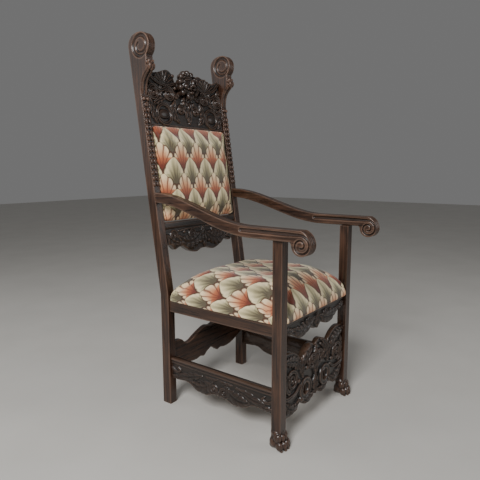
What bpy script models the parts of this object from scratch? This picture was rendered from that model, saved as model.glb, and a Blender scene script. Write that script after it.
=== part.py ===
"""Carved high-backed armchair, built as a throne: a dark oak frame with two upholstered pads.

Metres, +Z up. The sitter faces -Y, so the sitter's right hand is at -X. The origin is on the floor,
below the middle of the chair's whole width and depth. Heights are measured from the floor, and
depths from the front face of the front legs, until the whole chair is moved to its origin.
"""

import math
from dataclasses import dataclass

import bmesh
import bpy
import numpy as np
from mathutils import Vector
from mathutils.bvhtree import BVHTree
from mathutils.geometry import delaunay_2d_cdt

# Overall sizes
HEIGHT = 1.450
BACK_WIDTH = 0.517
FRONT_WIDTH = 0.531
SEAT_DEPTH = 0.525
GAP = 0.0003

# Back posts
POST_WIDTH = 0.034
POST_DEPTH = 0.041
KINK_HEIGHT = 0.449
RAKE = math.radians(8.43)
VOLUTE_RADIUS = 0.0485
VOLUTE_REACH = 0.0645
VOLUTE_GROOVE = 0.0045
NECK_LENGTH = 0.1765
COIN_PITCH = 0.022
COIN_HEIGHT = 0.003
COIN_BOTTOM = 0.872
COIN_DROP = 0.270
COIN_TOP = HEIGHT - COIN_DROP
POST_BEAD_RADIUS = 0.0070
POST_BEAD_DROP = 0.243
POST_BEAD_HEIGHT = HEIGHT - POST_BEAD_DROP

# Front legs and their paws
LEG_SIZE = 0.036
LEG_CHAMFER = 0.002
PAW_HEIGHT = 0.070
PAW_WIDTH = 0.050

# Arms
ARM_TOP = 0.755
ARM_RISE = 0.096
ARM_HEIGHT = 0.0385
ARM_WIDTH = 0.040
ARM_SPREAD = 0.566
ARM_RISE_START = 0.130
SCROLL_RADIUS = 0.0335
SCROLL_OVERHANG = 0.075
SCROLL_GROOVE = 0.0055
CHANNEL_END = 0.158
CHANNEL_WIDTH = 0.013

# Seat frame
RAIL_TOP = 0.430
RAIL_HEIGHT = 0.044
RAIL_THICKNESS = 0.022
RAIL_SETBACK = 0.006
APRON_HEIGHT = 0.080
APRON_THICKNESS = 0.018
APRON_RELIEF = 0.008

# Stretchers
FRONT_STRETCHER_BOTTOM = 0.072
FRONT_STRETCHER_HEIGHT = 0.246
FRONT_STRETCHER_THICKNESS = 0.018
FRONT_STRETCHER_RELIEF = 0.011
SIDE_STRETCHER_BOTTOM = 0.088
SIDE_STRETCHER_HEIGHT = 0.107
SIDE_STRETCHER_THICKNESS = 0.018
SIDE_STRETCHER_RELIEF = 0.006
BACK_STRETCHER_BOTTOM = 0.134
BACK_STRETCHER_HEIGHT = 0.133
BACK_STRETCHER_THICKNESS = 0.022

# Carved boards of the back, with heights measured up the raked line of the posts
CREST_DROP = 0.103
CREST_TOP = HEIGHT - CREST_DROP
CREST_THICKNESS = 0.022
CREST_RELIEF = 0.012
CREST_SETBACK = 0.012
LOWER_RAIL_BOTTOM = 0.597
LOWER_RAIL_THICKNESS = 0.020
LOWER_RAIL_RELIEF = 0.008
LOWER_RAIL_SETBACK = 0.010
MASK_SIZE = 0.062
MASK_DROP = 0.047
MASK_HEIGHT = CREST_TOP - MASK_DROP

# Pads
SEAT_PAD_EDGE = 0.052
SEAT_PAD_CROWN = 0.070
SEAT_PAD_OVERHANG = 0.008
SEAT_PAD_BULGE = 0.004
SEAT_PAD_SQUARENESS = 6.0
BACK_PAD_BOTTOM = 0.735
BACK_PAD_DROP = 0.337
BACK_PAD_TOP = HEIGHT - BACK_PAD_DROP
BACK_PAD_DEPTH = 0.024
BACK_PAD_SQUARENESS = 2.5
BACK_PAD_CROWN = 0.014
BACK_PAD_PROUD = 0.010
PAD_CORNER = 0.022
PAD_CLEARANCE = 0.0015

# Fineness of the carving: the cell it is worked out on and the triangles each board keeps
CARVING_CELL = 0.003
PAD_CELL = 0.008
EDGE_MARGIN = 0.4
EDGE_TOLERANCE = 0.0008
FIT_TOLERANCE = 0.00001
FIT_BATCH = 8
FIT_PART = 12
PROBE_REACH = 1.0
MERGE_DISTANCE = 0.000001
CREST_FACES = 900
FRONT_STRETCHER_FACES = 860
LOWER_RAIL_FACES = 360
APRON_FACES = 300
SIDE_STRETCHER_FACES = 280
PAD_FACES = 200
MASK_FACES = 560
PAW_FACES = 300
PAW_EDGE = 0.0002

WOOD = ("dark_oak", (0.045, 0.024, 0.016), 0.42)
FABRIC = ("palmette_fabric", (0.62, 0.42, 0.32), 0.9)


def clear_scene():
    """Removes every object that the scene starts with."""
    for obj in list(bpy.data.objects):
        bpy.data.objects.remove(obj, do_unlink=True)


def finish(settings):
    """The material with these settings, made once."""
    name, colour, roughness = settings
    material = bpy.data.materials.get(name)
    if material is None:
        material = bpy.data.materials.new(name)
        material.use_nodes = True
        shader = material.node_tree.nodes["Principled BSDF"]
        shader.inputs["Base Color"].default_value = (*colour, 1.0)
        shader.inputs["Roughness"].default_value = roughness
        shader.inputs["Metallic"].default_value = 0.0
    return material


def place(name, mesh, settings, parent, location=(0, 0, 0), rotation=(0, 0, 0)):
    """One sub-part of the chair, placed under its parent."""
    mesh.name = name
    mesh.materials.clear()
    mesh.materials.append(finish(settings))
    obj = bpy.data.objects.new(name, mesh)
    bpy.context.collection.objects.link(obj)
    obj.parent = parent
    obj.location = location
    obj.rotation_euler = rotation
    return obj


def empty(name, parent=None, location=(0, 0, 0), rotation=(0, 0, 0)):
    """A frame of reference that pieces are placed in."""
    obj = bpy.data.objects.new(name, None)
    bpy.context.collection.objects.link(obj)
    obj.parent = parent
    obj.location = location
    obj.rotation_euler = rotation
    return obj


def mesh_from(build):
    """A mesh of what build adds to an empty bmesh, with its faces turned out."""
    bm = bmesh.new()
    build(bm)
    bmesh.ops.recalc_face_normals(bm, faces=bm.faces)
    mesh = bpy.data.meshes.new("piece")
    bm.to_mesh(mesh)
    bm.free()
    return mesh


def evaluated(mesh, *modifiers):
    """The mesh after these modifiers, each a type with its settings."""
    obj = bpy.data.objects.new("work", mesh)
    bpy.context.collection.objects.link(obj)
    for kind, values in modifiers:
        modifier = obj.modifiers.new(kind, kind)
        for key, value in values.items():
            setattr(modifier, key, value)
    bpy.context.view_layer.update()
    result = bpy.data.meshes.new_from_object(obj.evaluated_get(bpy.context.evaluated_depsgraph_get()))
    bpy.data.objects.remove(obj, do_unlink=True)
    return result


def joined(mesh, others, operation, solver="EXACT"):
    """The mesh united with the others, or cut by them."""
    tools = []
    modifiers = []
    for other in others:
        tool = bpy.data.objects.new("tool", other)
        bpy.context.collection.objects.link(tool)
        tool.hide_render = True
        tool.display_type = "WIRE"
        tools.append(tool)
        modifiers.append(("BOOLEAN", {"operation": operation, "solver": solver, "object": tool}))
    result = evaluated(mesh, *modifiers)
    for tool in tools:
        bpy.data.objects.remove(tool, do_unlink=True)
    return result


def thinned(mesh, faces, symmetric):
    """The mesh with about this many triangles, the same on both sides of X where it is symmetric."""
    mesh.calc_loop_triangles()
    ratio = min(1.0, faces / len(mesh.loop_triangles))
    settings = {"ratio": ratio, "use_symmetry": symmetric, "symmetry_axis": "X"}
    return evaluated(mesh, ("DECIMATE", settings))


def box(low, high):
    """A box between two corners."""
    def build(bm):
        middle = (Vector(low) + Vector(high)) / 2
        size = Vector(high) - Vector(low)
        bmesh.ops.create_cube(bm, size=1.0)
        bmesh.ops.scale(bm, vec=size, verts=bm.verts)
        bmesh.ops.translate(bm, vec=middle, verts=bm.verts)
    return mesh_from(build)


def slab(outline, thickness):
    """A closed board with this outline of (y, z) points, its thickness centred on X."""
    def build(bm):
        face = bm.faces.new([bm.verts.new((-thickness / 2, y, z)) for y, z in outline])
        grown = bmesh.ops.extrude_face_region(bm, geom=[face])
        moved = [item for item in grown["geom"] if isinstance(item, bmesh.types.BMVert)]
        bmesh.ops.translate(bm, vec=(thickness, 0, 0), verts=moved)
    return mesh_from(build)


def smooth_curve(points, steps=6):
    """A smooth open curve through the points, with this many steps from one to the next."""
    middle = np.array(points, float)
    padded = np.vstack([2 * middle[0] - middle[1], middle, 2 * middle[-1] - middle[-2]])
    curve = []
    for a, b, c, d in zip(padded, padded[1:], padded[2:], padded[3:]):
        for t in np.arange(steps) / steps:
            cubic = (3 * b - a - 3 * c + d) * t ** 3
            square = (2 * a - 5 * b + 4 * c - d) * t ** 2
            curve.append((2 * b + (c - a) * t + square + cubic) / 2)
    curve.append(middle[-1])
    return np.array(curve)


def spiral(centre, radii, degrees, steps):
    """Points of a spiral about the centre, between two radii and two angles."""
    radius = np.linspace(radii[0], radii[1], steps)
    angle = np.radians(np.linspace(degrees[0], degrees[1], steps))
    return np.column_stack([centre[0] + radius * np.cos(angle), centre[1] + radius * np.sin(angle)])


def to_path(x, z, path):
    """How far each place is from the path, and how far along it the nearest point lies (0 to 1)."""
    steps = np.diff(path, axis=0)
    lengths = np.linalg.norm(steps, axis=1)
    starts = np.concatenate(([0.0], np.cumsum(lengths)))
    nearest = np.full(x.shape, np.inf)
    along = np.zeros(x.shape)
    for (px, pz), (sx, sz), length, start in zip(path, steps, lengths, starts):
        run = np.clip(((x - px) * sx + (z - pz) * sz) / length, 0, length)
        distance = np.hypot(x - px - run * sx / length, z - pz - run * sz / length)
        closer = distance < nearest
        nearest[closer] = distance[closer]
        along[closer] = ((start + run) / starts[-1])[closer]
    return nearest, along


@dataclass(frozen=True)
class Scroll:
    """A rounded band along a path, tapering from its start to its end."""

    path: np.ndarray
    half_widths: tuple
    height: float

    def rise(self, x, z):
        """The height of the band above the board at each place."""
        distance, along = to_path(x, z, self.path)
        half_width = self.half_widths[0] + (self.half_widths[1] - self.half_widths[0]) * along
        return self.height * np.sqrt(np.clip(1 - (distance / half_width) ** 2, 0, 1))


@dataclass(frozen=True)
class Leaf:
    """A leaf with lobes along both sides of its spine."""

    path: np.ndarray
    half_width: float
    lobes: int
    height: float

    def rise(self, x, z):
        """The height of the leaf above the board at each place."""
        distance, along = to_path(x, z, self.path)
        swell = np.clip(np.sin(math.pi * np.clip(along, 0.02, 0.98)), 0, 1) ** 0.6
        lobe = np.abs(np.sin(math.pi * self.lobes * along)) ** 0.5
        share = distance / (self.half_width * swell * (0.72 + 0.28 * lobe))
        vein = 0.8 + 0.2 * lobe
        return self.height * vein * np.sqrt(np.clip(1 - share ** 2, 0, 1))


@dataclass(frozen=True)
class Boss:
    """A domed boss or bead, round or oval."""

    centre: tuple
    radii: tuple
    height: float

    def rise(self, x, z):
        """The height of the boss above the board at each place."""
        share = ((x - self.centre[0]) / self.radii[0]) ** 2 + ((z - self.centre[1]) / self.radii[1]) ** 2
        return self.height * np.sqrt(np.clip(1 - share, 0, 1))


@dataclass(frozen=True)
class Fan:
    """A shell of flutes that spread from a centre."""

    centre: tuple
    radius: float
    degrees: tuple
    flutes: int
    height: float

    def rise(self, x, z):
        """The height of the flutes above the board at each place."""
        dx = x - self.centre[0]
        dz = z - self.centre[1]
        radius = np.hypot(dx, dz) / self.radius
        turn = (np.degrees(np.arctan2(dz, dx)) - self.degrees[0]) / (self.degrees[1] - self.degrees[0])
        flute = 0.55 + 0.45 * np.abs(np.sin(math.pi * self.flutes * turn))
        inside = (turn > 0) & (turn < 1) & (radius < 1)
        return np.where(inside, self.height * flute * np.clip(0.35 + radius, 0, 1), 0)


@dataclass(frozen=True)
class Band:
    """A straight moulding along the board, between two heights."""

    low: float
    high: float
    height: float

    def rise(self, x, z):
        """The height of the moulding above the board at each place."""
        share = (z - (self.low + self.high) / 2) / ((self.high - self.low) / 2)
        return self.height * np.sqrt(np.clip(1 - share ** 4, 0, 1)) + 0 * x


class Board:
    """A carved board, symmetric about X = 0, whose carving is laid out in shares of its own size.

    A share of (1, 1) is the board's top right corner, (0, 0) the middle of its bottom edge.
    Its front faces -Y, and the ground of its carving is at Y = 0.
    """

    def __init__(self, half_width, bottom, height, relief):
        self.half_width = half_width
        self.bottom = bottom
        self.height = height
        self.relief = relief

    def at(self, points):
        """Places given as shares, in metres."""
        shares = np.array(points, float)
        return shares * (self.half_width, self.height) + (0, self.bottom)

    def loop(self, upper, lower):
        """A closed outline from its right half, given from the middle to the end, above and below."""
        right = np.vstack([smooth_curve(self.at(upper)), smooth_curve(self.at(lower))[::-1]])
        left = right[::-1] * (-1, 1)
        return np.vstack([right, left])

    def scroll(self, points, widths, height=1.0):
        """A band through the points, with half widths as shares of the board's height."""
        half_widths = (widths[0] * self.height, widths[1] * self.height)
        return Scroll(smooth_curve(self.at(points)), half_widths, height * self.relief)

    def curl(self, centre, radii, degrees, widths, height=1.0):
        """A spiral band, with its sizes as shares of the board's height."""
        path = spiral(self.at(centre), (radii[0] * self.height, radii[1] * self.height), degrees, 28)
        half_widths = (widths[0] * self.height, widths[1] * self.height)
        return Scroll(path, half_widths, height * self.relief)

    def leaf(self, points, width, lobes, height=1.0):
        """A leaf along the points, its half width a share of the board's height."""
        return Leaf(smooth_curve(self.at(points)), width * self.height, lobes, height * self.relief)

    def boss(self, centre, radii, height=1.0):
        """A boss, its radii shares of the board's height."""
        return Boss(tuple(self.at(centre)), (radii[0] * self.height, radii[1] * self.height),
                    height * self.relief)

    def fan(self, centre, radius, degrees, flutes, height=1.0):
        """A fan of flutes, its radius a share of the board's height."""
        return Fan(tuple(self.at(centre)), radius * self.height, degrees, flutes, height * self.relief)

    def band(self, low, high, height=1.0):
        """A moulding along the board between two shares of its height."""
        return Band(self.bottom + low * self.height, self.bottom + high * self.height,
                    height * self.relief)

    def oval(self, centre, radii, steps=20):
        """The outline of an oval opening, its radii shares of the board's height."""
        middle = self.at(centre)
        angle = np.linspace(0, 2 * math.pi, steps, endpoint=False)
        reach = np.array(radii) * self.height
        return np.column_stack([middle[0] + reach[0] * np.cos(angle), middle[1] + reach[1] * np.sin(angle)])


def mirrored_pair(loop):
    """The same closed outline on both sides of X = 0."""
    return [loop, loop[::-1] * (-1, 1)]


def to_loops(x, z, loops):
    """For each place: whether the closed loops enclose it, and the nearest point on them."""
    inside = np.zeros(x.shape, bool)
    nearest = np.full(x.shape, np.inf)
    near_x = np.zeros(x.shape)
    near_z = np.zeros(x.shape)
    for loop in loops:
        for (ax, az), (bx, bz) in zip(loop, np.roll(loop, -1, axis=0)):
            length = math.hypot(bx - ax, bz - az)
            if length < MERGE_DISTANCE:
                continue
            run = np.clip(((x - ax) * (bx - ax) + (z - az) * (bz - az)) / length ** 2, 0, 1)
            on_x = ax + run * (bx - ax)
            on_z = az + run * (bz - az)
            distance = np.hypot(x - on_x, z - on_z)
            closer = distance < nearest
            nearest[closer] = distance[closer]
            near_x[closer] = on_x[closer]
            near_z[closer] = on_z[closer]
            if az != bz:
                crosses = ((az > z) != (bz > z)) & (x < ax + (z - az) * (bx - ax) / (bz - az))
                inside ^= crosses
    return inside, nearest, near_x, near_z


def eased(loop, tolerance):
    """A closed outline without the points that lie this close to the line through the others."""
    def between(first, last):
        if last - first < 2:
            return []
        start, stop = loop[first], loop[last % len(loop)]
        across = np.array([start[1] - stop[1], stop[0] - start[0]])
        across /= max(np.linalg.norm(across), MERGE_DISTANCE)
        away = np.abs((loop[first + 1:last] - start) @ across)
        worst = first + 1 + int(away.argmax())
        if away.max() < tolerance:
            return []
        return between(first, worst) + [worst] + between(worst, last)

    far = int(np.linalg.norm(loop - loop[0], axis=1).argmax())
    return loop[[0] + between(0, far) + [far] + between(far, len(loop))]


def triangulated(loops, extra):
    """Triangles between the loops and through the extra points, as points and index triples."""
    points = [tuple(point) for loop in loops for point in loop] + [tuple(point) for point in extra]
    edges = []
    for loop in loops:
        first = len(edges)
        edges += [(first + i, first + (i + 1) % len(loop)) for i in range(len(loop))]
    flat, _, faces, *_ = delaunay_2d_cdt([Vector(point) for point in points], edges, [], 0, MERGE_DISTANCE)
    flat = np.array([tuple(point) for point in flat])
    faces = np.array([tuple(face) for face in faces])
    middle = flat[faces].mean(axis=1)
    inside = to_loops(middle[:, 0], middle[:, 1], loops)[0]
    return flat, faces[inside]


def fitted(loops, cell, front, faces):
    """A triangulation inside the loops that follows front(x, z) with about this many triangles.

    It starts from the loops alone. Then the places where it is furthest from the front surface are
    added, in mirrored pairs and a share of them at a time, until there are enough triangles.
    """
    everything = np.vstack(loops)
    low, high = everything.min(axis=0), everything.max(axis=0)
    x, z = np.meshgrid(np.arange(0, high[0], cell), np.arange(low[1], high[1], cell), indexing="ij")
    inside, distance, *_ = to_loops(x, z, loops)
    kept = inside & (distance > cell * EDGE_MARGIN)
    places = np.column_stack([x[kept], z[kept]])
    height = front(x, z)[kept]
    extra = []
    while True:
        flat, found = triangulated(loops, extra)
        if len(found) >= faces:
            return flat, found
        level = front(flat[:, 0], flat[:, 1])
        verts = [(px, py, pz) for (px, pz), py in zip(flat.tolist(), level.tolist())]
        tree = BVHTree.FromPolygons(verts, found.tolist())
        worst = {}
        for number, (px, pz) in enumerate(places.tolist()):
            hit, _, face, _ = tree.ray_cast((px, -PROBE_REACH, pz), (0.0, 1.0, 0.0))
            if hit is None:
                continue
            error = abs(hit.y - height[number])
            if error > worst.get(face, (0.0, 0))[0]:
                worst[face] = (error, number)
        batch = max(FIT_BATCH, len(found) // FIT_PART)
        ranked = sorted(worst.values(), reverse=True)[:batch]
        if not ranked or ranked[0][0] < FIT_TOLERANCE:
            return flat, found
        for _, number in ranked:
            px, pz = places[number].tolist()
            extra += [(px, pz), (-px, pz)] if px > cell / 2 else [(0.0, pz)]


def raised(loops, cell, front, depth, faces):
    """A closed solid inside the loops: a raised front, straight edges and a flat back.

    front(x, z) gives the height of the front surface above Y = 0, towards -Y, and depth is how far
    behind Y = 0 the back lies.
    """
    loops = [eased(loop, EDGE_TOLERANCE) for loop in loops]
    flat, found = fitted(loops, cell, front, faces)
    level = front(flat[:, 0], flat[:, 1])

    def build(bm):
        verts = [bm.verts.new((x, -y, z)) for (x, z), y in zip(flat, level)]
        for a, b, c in found:
            bm.faces.new((verts[a], verts[b], verts[c]))
        rim = [edge for edge in bm.edges if edge.is_boundary]
        grown = bmesh.ops.extrude_edge_only(bm, edges=rim)
        for vert in (item for item in grown["geom"] if isinstance(item, bmesh.types.BMVert)):
            vert.co.y = depth
        rear = [edge for edge in bm.edges if edge.is_boundary]
        bmesh.ops.triangle_fill(bm, use_beauty=True, edges=rear)
    return mesh_from(build)


def carved_board(loops, motifs, thickness, faces):
    """A board as a closed solid with its carving, thinned to about this many triangles in front."""
    def front(x, z):
        height = np.zeros(x.shape)
        for motif in motifs:
            height = np.maximum(height, motif.rise(np.abs(x), z))
        return height

    return raised(loops, CARVING_CELL, front, thickness, faces)


def lump(spheres, faces, floor=None):
    """One rounded body from overlapping oval lumps, given as centre and radii, mirrored across X.

    Where a floor is given, whatever is below it is sawn off flat.
    """
    def build(bm):
        for centre, radii in spheres:
            for side in ((1, -1) if centre[0] else (1,)):
                grown = bmesh.ops.create_icosphere(bm, subdivisions=3, radius=1.0)
                bmesh.ops.scale(bm, vec=radii, verts=grown["verts"])
                bmesh.ops.translate(bm, vec=(centre[0] * side, centre[1], centre[2]), verts=grown["verts"])
    size = min(min(radii) for _, radii in spheres)
    mesh = evaluated(mesh_from(build), ("REMESH", {"mode": "VOXEL", "voxel_size": size / 3}))
    mesh = thinned(mesh, faces, True)
    return mesh if floor is None else sawn_off(mesh, floor)


def sawn_off(mesh, floor):
    """The part of the mesh above the floor, closed with one flat face."""
    def build(bm):
        bm.from_mesh(mesh)
        everything = bm.verts[:] + bm.edges[:] + bm.faces[:]
        bmesh.ops.bisect_plane(bm, geom=everything, dist=MERGE_DISTANCE, plane_co=(0, 0, floor),
                               plane_no=(0, 0, 1), clear_inner=True)
        bmesh.ops.holes_fill(bm, edges=[edge for edge in bm.edges if edge.is_boundary])
        bmesh.ops.dissolve_degenerate(bm, edges=bm.edges, dist=PAW_EDGE)
    return mesh_from(build)


def swept_cutter(path, half_widths, depth, face_x):
    """A wedge-shaped cutter along a path of (y, z) points, reaching in from the side face at X."""
    outward = math.copysign(1.0, face_x)
    tangents = np.gradient(path, axis=0)
    tangents /= np.linalg.norm(tangents, axis=1)[:, None]
    normals = np.column_stack([-tangents[:, 1], tangents[:, 0]])
    widths = np.linspace(half_widths[0], half_widths[1], len(path))
    clear = 0.002

    def build(bm):
        rows = []
        for point, normal, width in zip(path, normals, widths):
            row = [bm.verts.new((face_x + outward * clear, *(point + normal * width))),
                   bm.verts.new((face_x + outward * clear, *(point - normal * width))),
                   bm.verts.new((face_x - outward * depth, *(point - normal * width * 0.25))),
                   bm.verts.new((face_x - outward * depth, *(point + normal * width * 0.25)))]
            rows.append(row)
        for first, second in zip(rows, rows[1:]):
            for i in range(4):
                j = (i + 1) % 4
                bm.faces.new([first[i], first[j], second[j], second[i]])
        bm.faces.new(rows[0])
        bm.faces.new(list(reversed(rows[-1])))
    return mesh_from(build)


def post_lean(z):
    """How far back the raked post stands at this height, from where its foot stands."""
    return math.tan(RAKE) * max(0.0, z - KINK_HEIGHT)


def up_the_rake(z):
    """How far up the raked plane, from the posts' kink, this height is reached."""
    return (z - KINK_HEIGHT) / math.cos(RAKE)


def volute_centre():
    """The middle of the post's volute, as (y, z) from the foot's front face."""
    z = HEIGHT - VOLUTE_RADIUS
    return POST_DEPTH + post_lean(z) - VOLUTE_REACH, z


def volute_crown():
    """The volute's outline from the post's back, over the crown and round to its underside."""
    y, z = volute_centre()
    squareness = 2 / 2.4
    points = []
    for angle in np.radians(np.linspace(0, 90, 7)):
        across = math.cos(angle) ** squareness * VOLUTE_REACH
        points.append((y + across, z + math.sin(angle) ** squareness * VOLUTE_RADIUS))
    for angle in np.radians(np.linspace(105, 225, 9)):
        points.append((y + math.cos(angle) * VOLUTE_RADIUS, z + math.sin(angle) * VOLUTE_RADIUS))
    return points


def neck_leaves():
    """The two leaf tips under the volute and the hollow that runs down to the post's front."""
    y, z = volute_centre()
    hang = NECK_LENGTH
    tips = [(-0.036, 0.348), (-0.036, 0.380), (-0.027, 0.405), (-0.045, 0.440), (-0.041, 0.484),
            (-0.021, 0.565), (-0.006, 0.690), (-0.001, 0.830)]
    return [(y + across, z - share * hang) for across, share in tips]


def coin_edge():
    """The row of raised coins down the post's front edge, from the top one to the lowest."""
    count = max(1, round((COIN_TOP - COIN_BOTTOM) / COIN_PITCH))
    pitch = (COIN_TOP - COIN_BOTTOM) / count
    points = []
    for i in range(count):
        top = COIN_TOP - i * pitch
        points.append((post_lean(top), top))
        for share in (0.22, 0.78):
            z = top - share * pitch
            points.append((post_lean(z) - COIN_HEIGHT, z))
    points.append((post_lean(COIN_BOTTOM), COIN_BOTTOM))
    return points


def back_post():
    """A back post, in place of its middle line, from its foot to its volute."""
    outline = [(0, 0), (POST_DEPTH, 0), (POST_DEPTH, KINK_HEIGHT)]
    outline += volute_crown() + neck_leaves()
    neck_end = volute_centre()[1] - NECK_LENGTH
    outline.append((post_lean(neck_end), neck_end))
    outline += coin_edge() + [(0, KINK_HEIGHT)]
    centre = volute_centre()
    path = spiral(centre, (VOLUTE_RADIUS * 0.90, VOLUTE_RADIUS * 0.44), (-30, 500), 24)
    widths = (0.0028, 0.0034)
    cutters = [swept_cutter(path, widths, VOLUTE_GROOVE, side * POST_WIDTH / 2) for side in (-1, 1)]
    cutters += [flute_cutter(side * POST_WIDTH / 6) for side in (-1, 1)]
    body = joined(slab(outline, POST_WIDTH), cutters, "DIFFERENCE")
    beads = [post_bead(side * POST_WIDTH / 4) for side in (-1, 1)]
    return joined(body, beads, "UNION")


def flute_cutter(x):
    """A long round-bottomed flute down the hollow under the volute."""
    y, z = volute_centre()
    hollow = ((-0.040, 0.50), (-0.021, 0.565), (-0.006, 0.690), (-0.001, 0.830), (0.001, 0.96))
    run = smooth_curve([(y + across, z - share * NECK_LENGTH) for across, share in hollow], 2)
    half_width = POST_WIDTH / 9
    depth = 0.0035

    def build(bm):
        rows = []
        for across, height in run:
            rows.append([bm.verts.new((x - half_width, across - 0.004, height)),
                         bm.verts.new((x + half_width, across - 0.004, height)),
                         bm.verts.new((x, across + depth, height))])
        for first, second in zip(rows, rows[1:]):
            for i in range(3):
                j = (i + 1) % 3
                bm.faces.new([first[i], first[j], second[j], second[i]])
        bm.faces.new(rows[0])
        bm.faces.new(list(reversed(rows[-1])))
    return mesh_from(build)


def post_bead(x):
    """One of the pair of beads side by side on the post's front."""
    def build(bm):
        grown = bmesh.ops.create_icosphere(bm, subdivisions=1, radius=POST_BEAD_RADIUS)
        bmesh.ops.translate(bm, vec=(x, post_lean(POST_BEAD_HEIGHT), POST_BEAD_HEIGHT), verts=grown["verts"])
    return mesh_from(build)


def toe(x, y):
    """A toe of the paw: a knuckle above and a rounded tip below."""
    width = PAW_WIDTH
    return [((x, y + 0.20 * width, 0.60 * PAW_HEIGHT), (0.17 * width, 0.30 * width, 0.22 * PAW_HEIGHT)),
            ((x * 1.12, y, 0.19 * PAW_HEIGHT), (0.175 * width, 0.26 * width, 0.22 * PAW_HEIGHT))]


def front_leg():
    """A front leg: a square shaft with chamfered corners that ends below in a lion's paw."""
    width = PAW_WIDTH
    pads = [((0, 0.10 * width, 0.30 * PAW_HEIGHT), (0.50 * width, 0.46 * width, 0.33 * PAW_HEIGHT)),
            ((0, 0.04 * width, 0.78 * PAW_HEIGHT), (0.43 * width, 0.43 * width, 0.30 * PAW_HEIGHT)),
            ((0, 0.02 * width, 0.14 * PAW_HEIGHT), (0.48 * width, 0.44 * width, 0.26 * PAW_HEIGHT))]
    toes = toe(0.13 * width, -0.46 * width) + toe(0.38 * width, -0.34 * width)
    paw = lump(pads + toes, PAW_FACES, floor=0.0)
    half = LEG_SIZE / 2
    top = ARM_TOP - ARM_HEIGHT - GAP
    shaft = box((-half, -half, PAW_HEIGHT * 0.55), (half, half, top))
    shaft = evaluated(shaft, ("BEVEL", {"width": LEG_CHAMFER, "segments": 1, "limit_method": "ANGLE"}))
    return joined(shaft, [paw], "UNION")


def arm_level(y):
    """The height of the arm's top at this depth: level in front, then an easy rise to the post."""
    end = SEAT_DEPTH + post_lean(ARM_TOP + ARM_RISE)
    share = min(1.0, max(0.0, (y - ARM_RISE_START) / (end - ARM_RISE_START)))
    return ARM_TOP + ARM_RISE * share * share * (3 - 2 * share)


def arm_outline():
    """The arm's side outline: its top from the post forwards, round the scroll, and back below."""
    def post_front(z):
        return SEAT_DEPTH + post_lean(z) - GAP

    centre_y, centre_z = -SCROLL_OVERHANG, scroll_height()
    back_top = ARM_TOP + ARM_RISE
    stations = np.linspace(ARM_RISE_START, post_front(back_top), 10)
    top = [(float(y), arm_level(y)) for y in stations[::-1]]
    top.append((centre_y + SCROLL_RADIUS * 0.5, ARM_TOP))
    fall = []
    for degrees in range(90, 361, 18):
        extra = max(0.0, 1 - (degrees - 90) / 90)
        radius = SCROLL_RADIUS + (ARM_TOP - centre_z - SCROLL_RADIUS) * extra ** 2
        angle = math.radians(degrees)
        fall.append((centre_y + radius * math.cos(angle), centre_z + radius * math.sin(angle)))
    low = ARM_TOP - ARM_HEIGHT
    below = [(centre_y + SCROLL_RADIUS + 0.006, low)]
    back_low = back_top - ARM_HEIGHT
    stations = np.linspace(ARM_RISE_START, post_front(back_low), 10)
    below += [(float(y), arm_level(y) - ARM_HEIGHT) for y in stations[:-1]]
    below.append((post_front(back_low), back_low))
    return top + fall + below


def scroll_height():
    """The height of the middle of the arm's scroll."""
    return ARM_TOP - ARM_HEIGHT - 0.008


def arm_groove():
    """The channel along the front of the arm and on into its scroll, as (y, z) points."""
    centre = (-SCROLL_OVERHANG, scroll_height())
    radius = ARM_TOP - ARM_HEIGHT * 0.36 - centre[1]
    turns = spiral(centre, (radius, SCROLL_RADIUS * 0.30), (90, 590), 26)
    start = [(CHANNEL_END, ARM_TOP - ARM_HEIGHT * 0.36), (CHANNEL_END / 2, ARM_TOP - ARM_HEIGHT * 0.36)]
    return np.vstack([start, turns])


def arm(side):
    """An arm, in place: it spreads outward from the post to its scroll."""
    mesh = slab(arm_outline(), ARM_WIDTH)
    path = arm_groove()
    widths = (CHANNEL_WIDTH / 2, CHANNEL_WIDTH / 5)
    cutters = [swept_cutter(path, widths, SCROLL_GROOVE, face * ARM_WIDTH / 2) for face in (-1, 1)]
    mesh = joined(mesh, cutters, "DIFFERENCE")
    back = SEAT_DEPTH + post_lean(ARM_TOP)
    front_x = (ARM_SPREAD - ARM_WIDTH) / 2
    back_x = (BACK_WIDTH - POST_WIDTH) / 2
    for vertex in mesh.vertices:
        share = min(1.0, max(0.0, (back - vertex.co.y) / back))
        width = POST_WIDTH / ARM_WIDTH + (1 - POST_WIDTH / ARM_WIDTH) * share
        vertex.co.x = side * (back_x + (front_x - back_x) * share) + vertex.co.x * width
    return mesh


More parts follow.
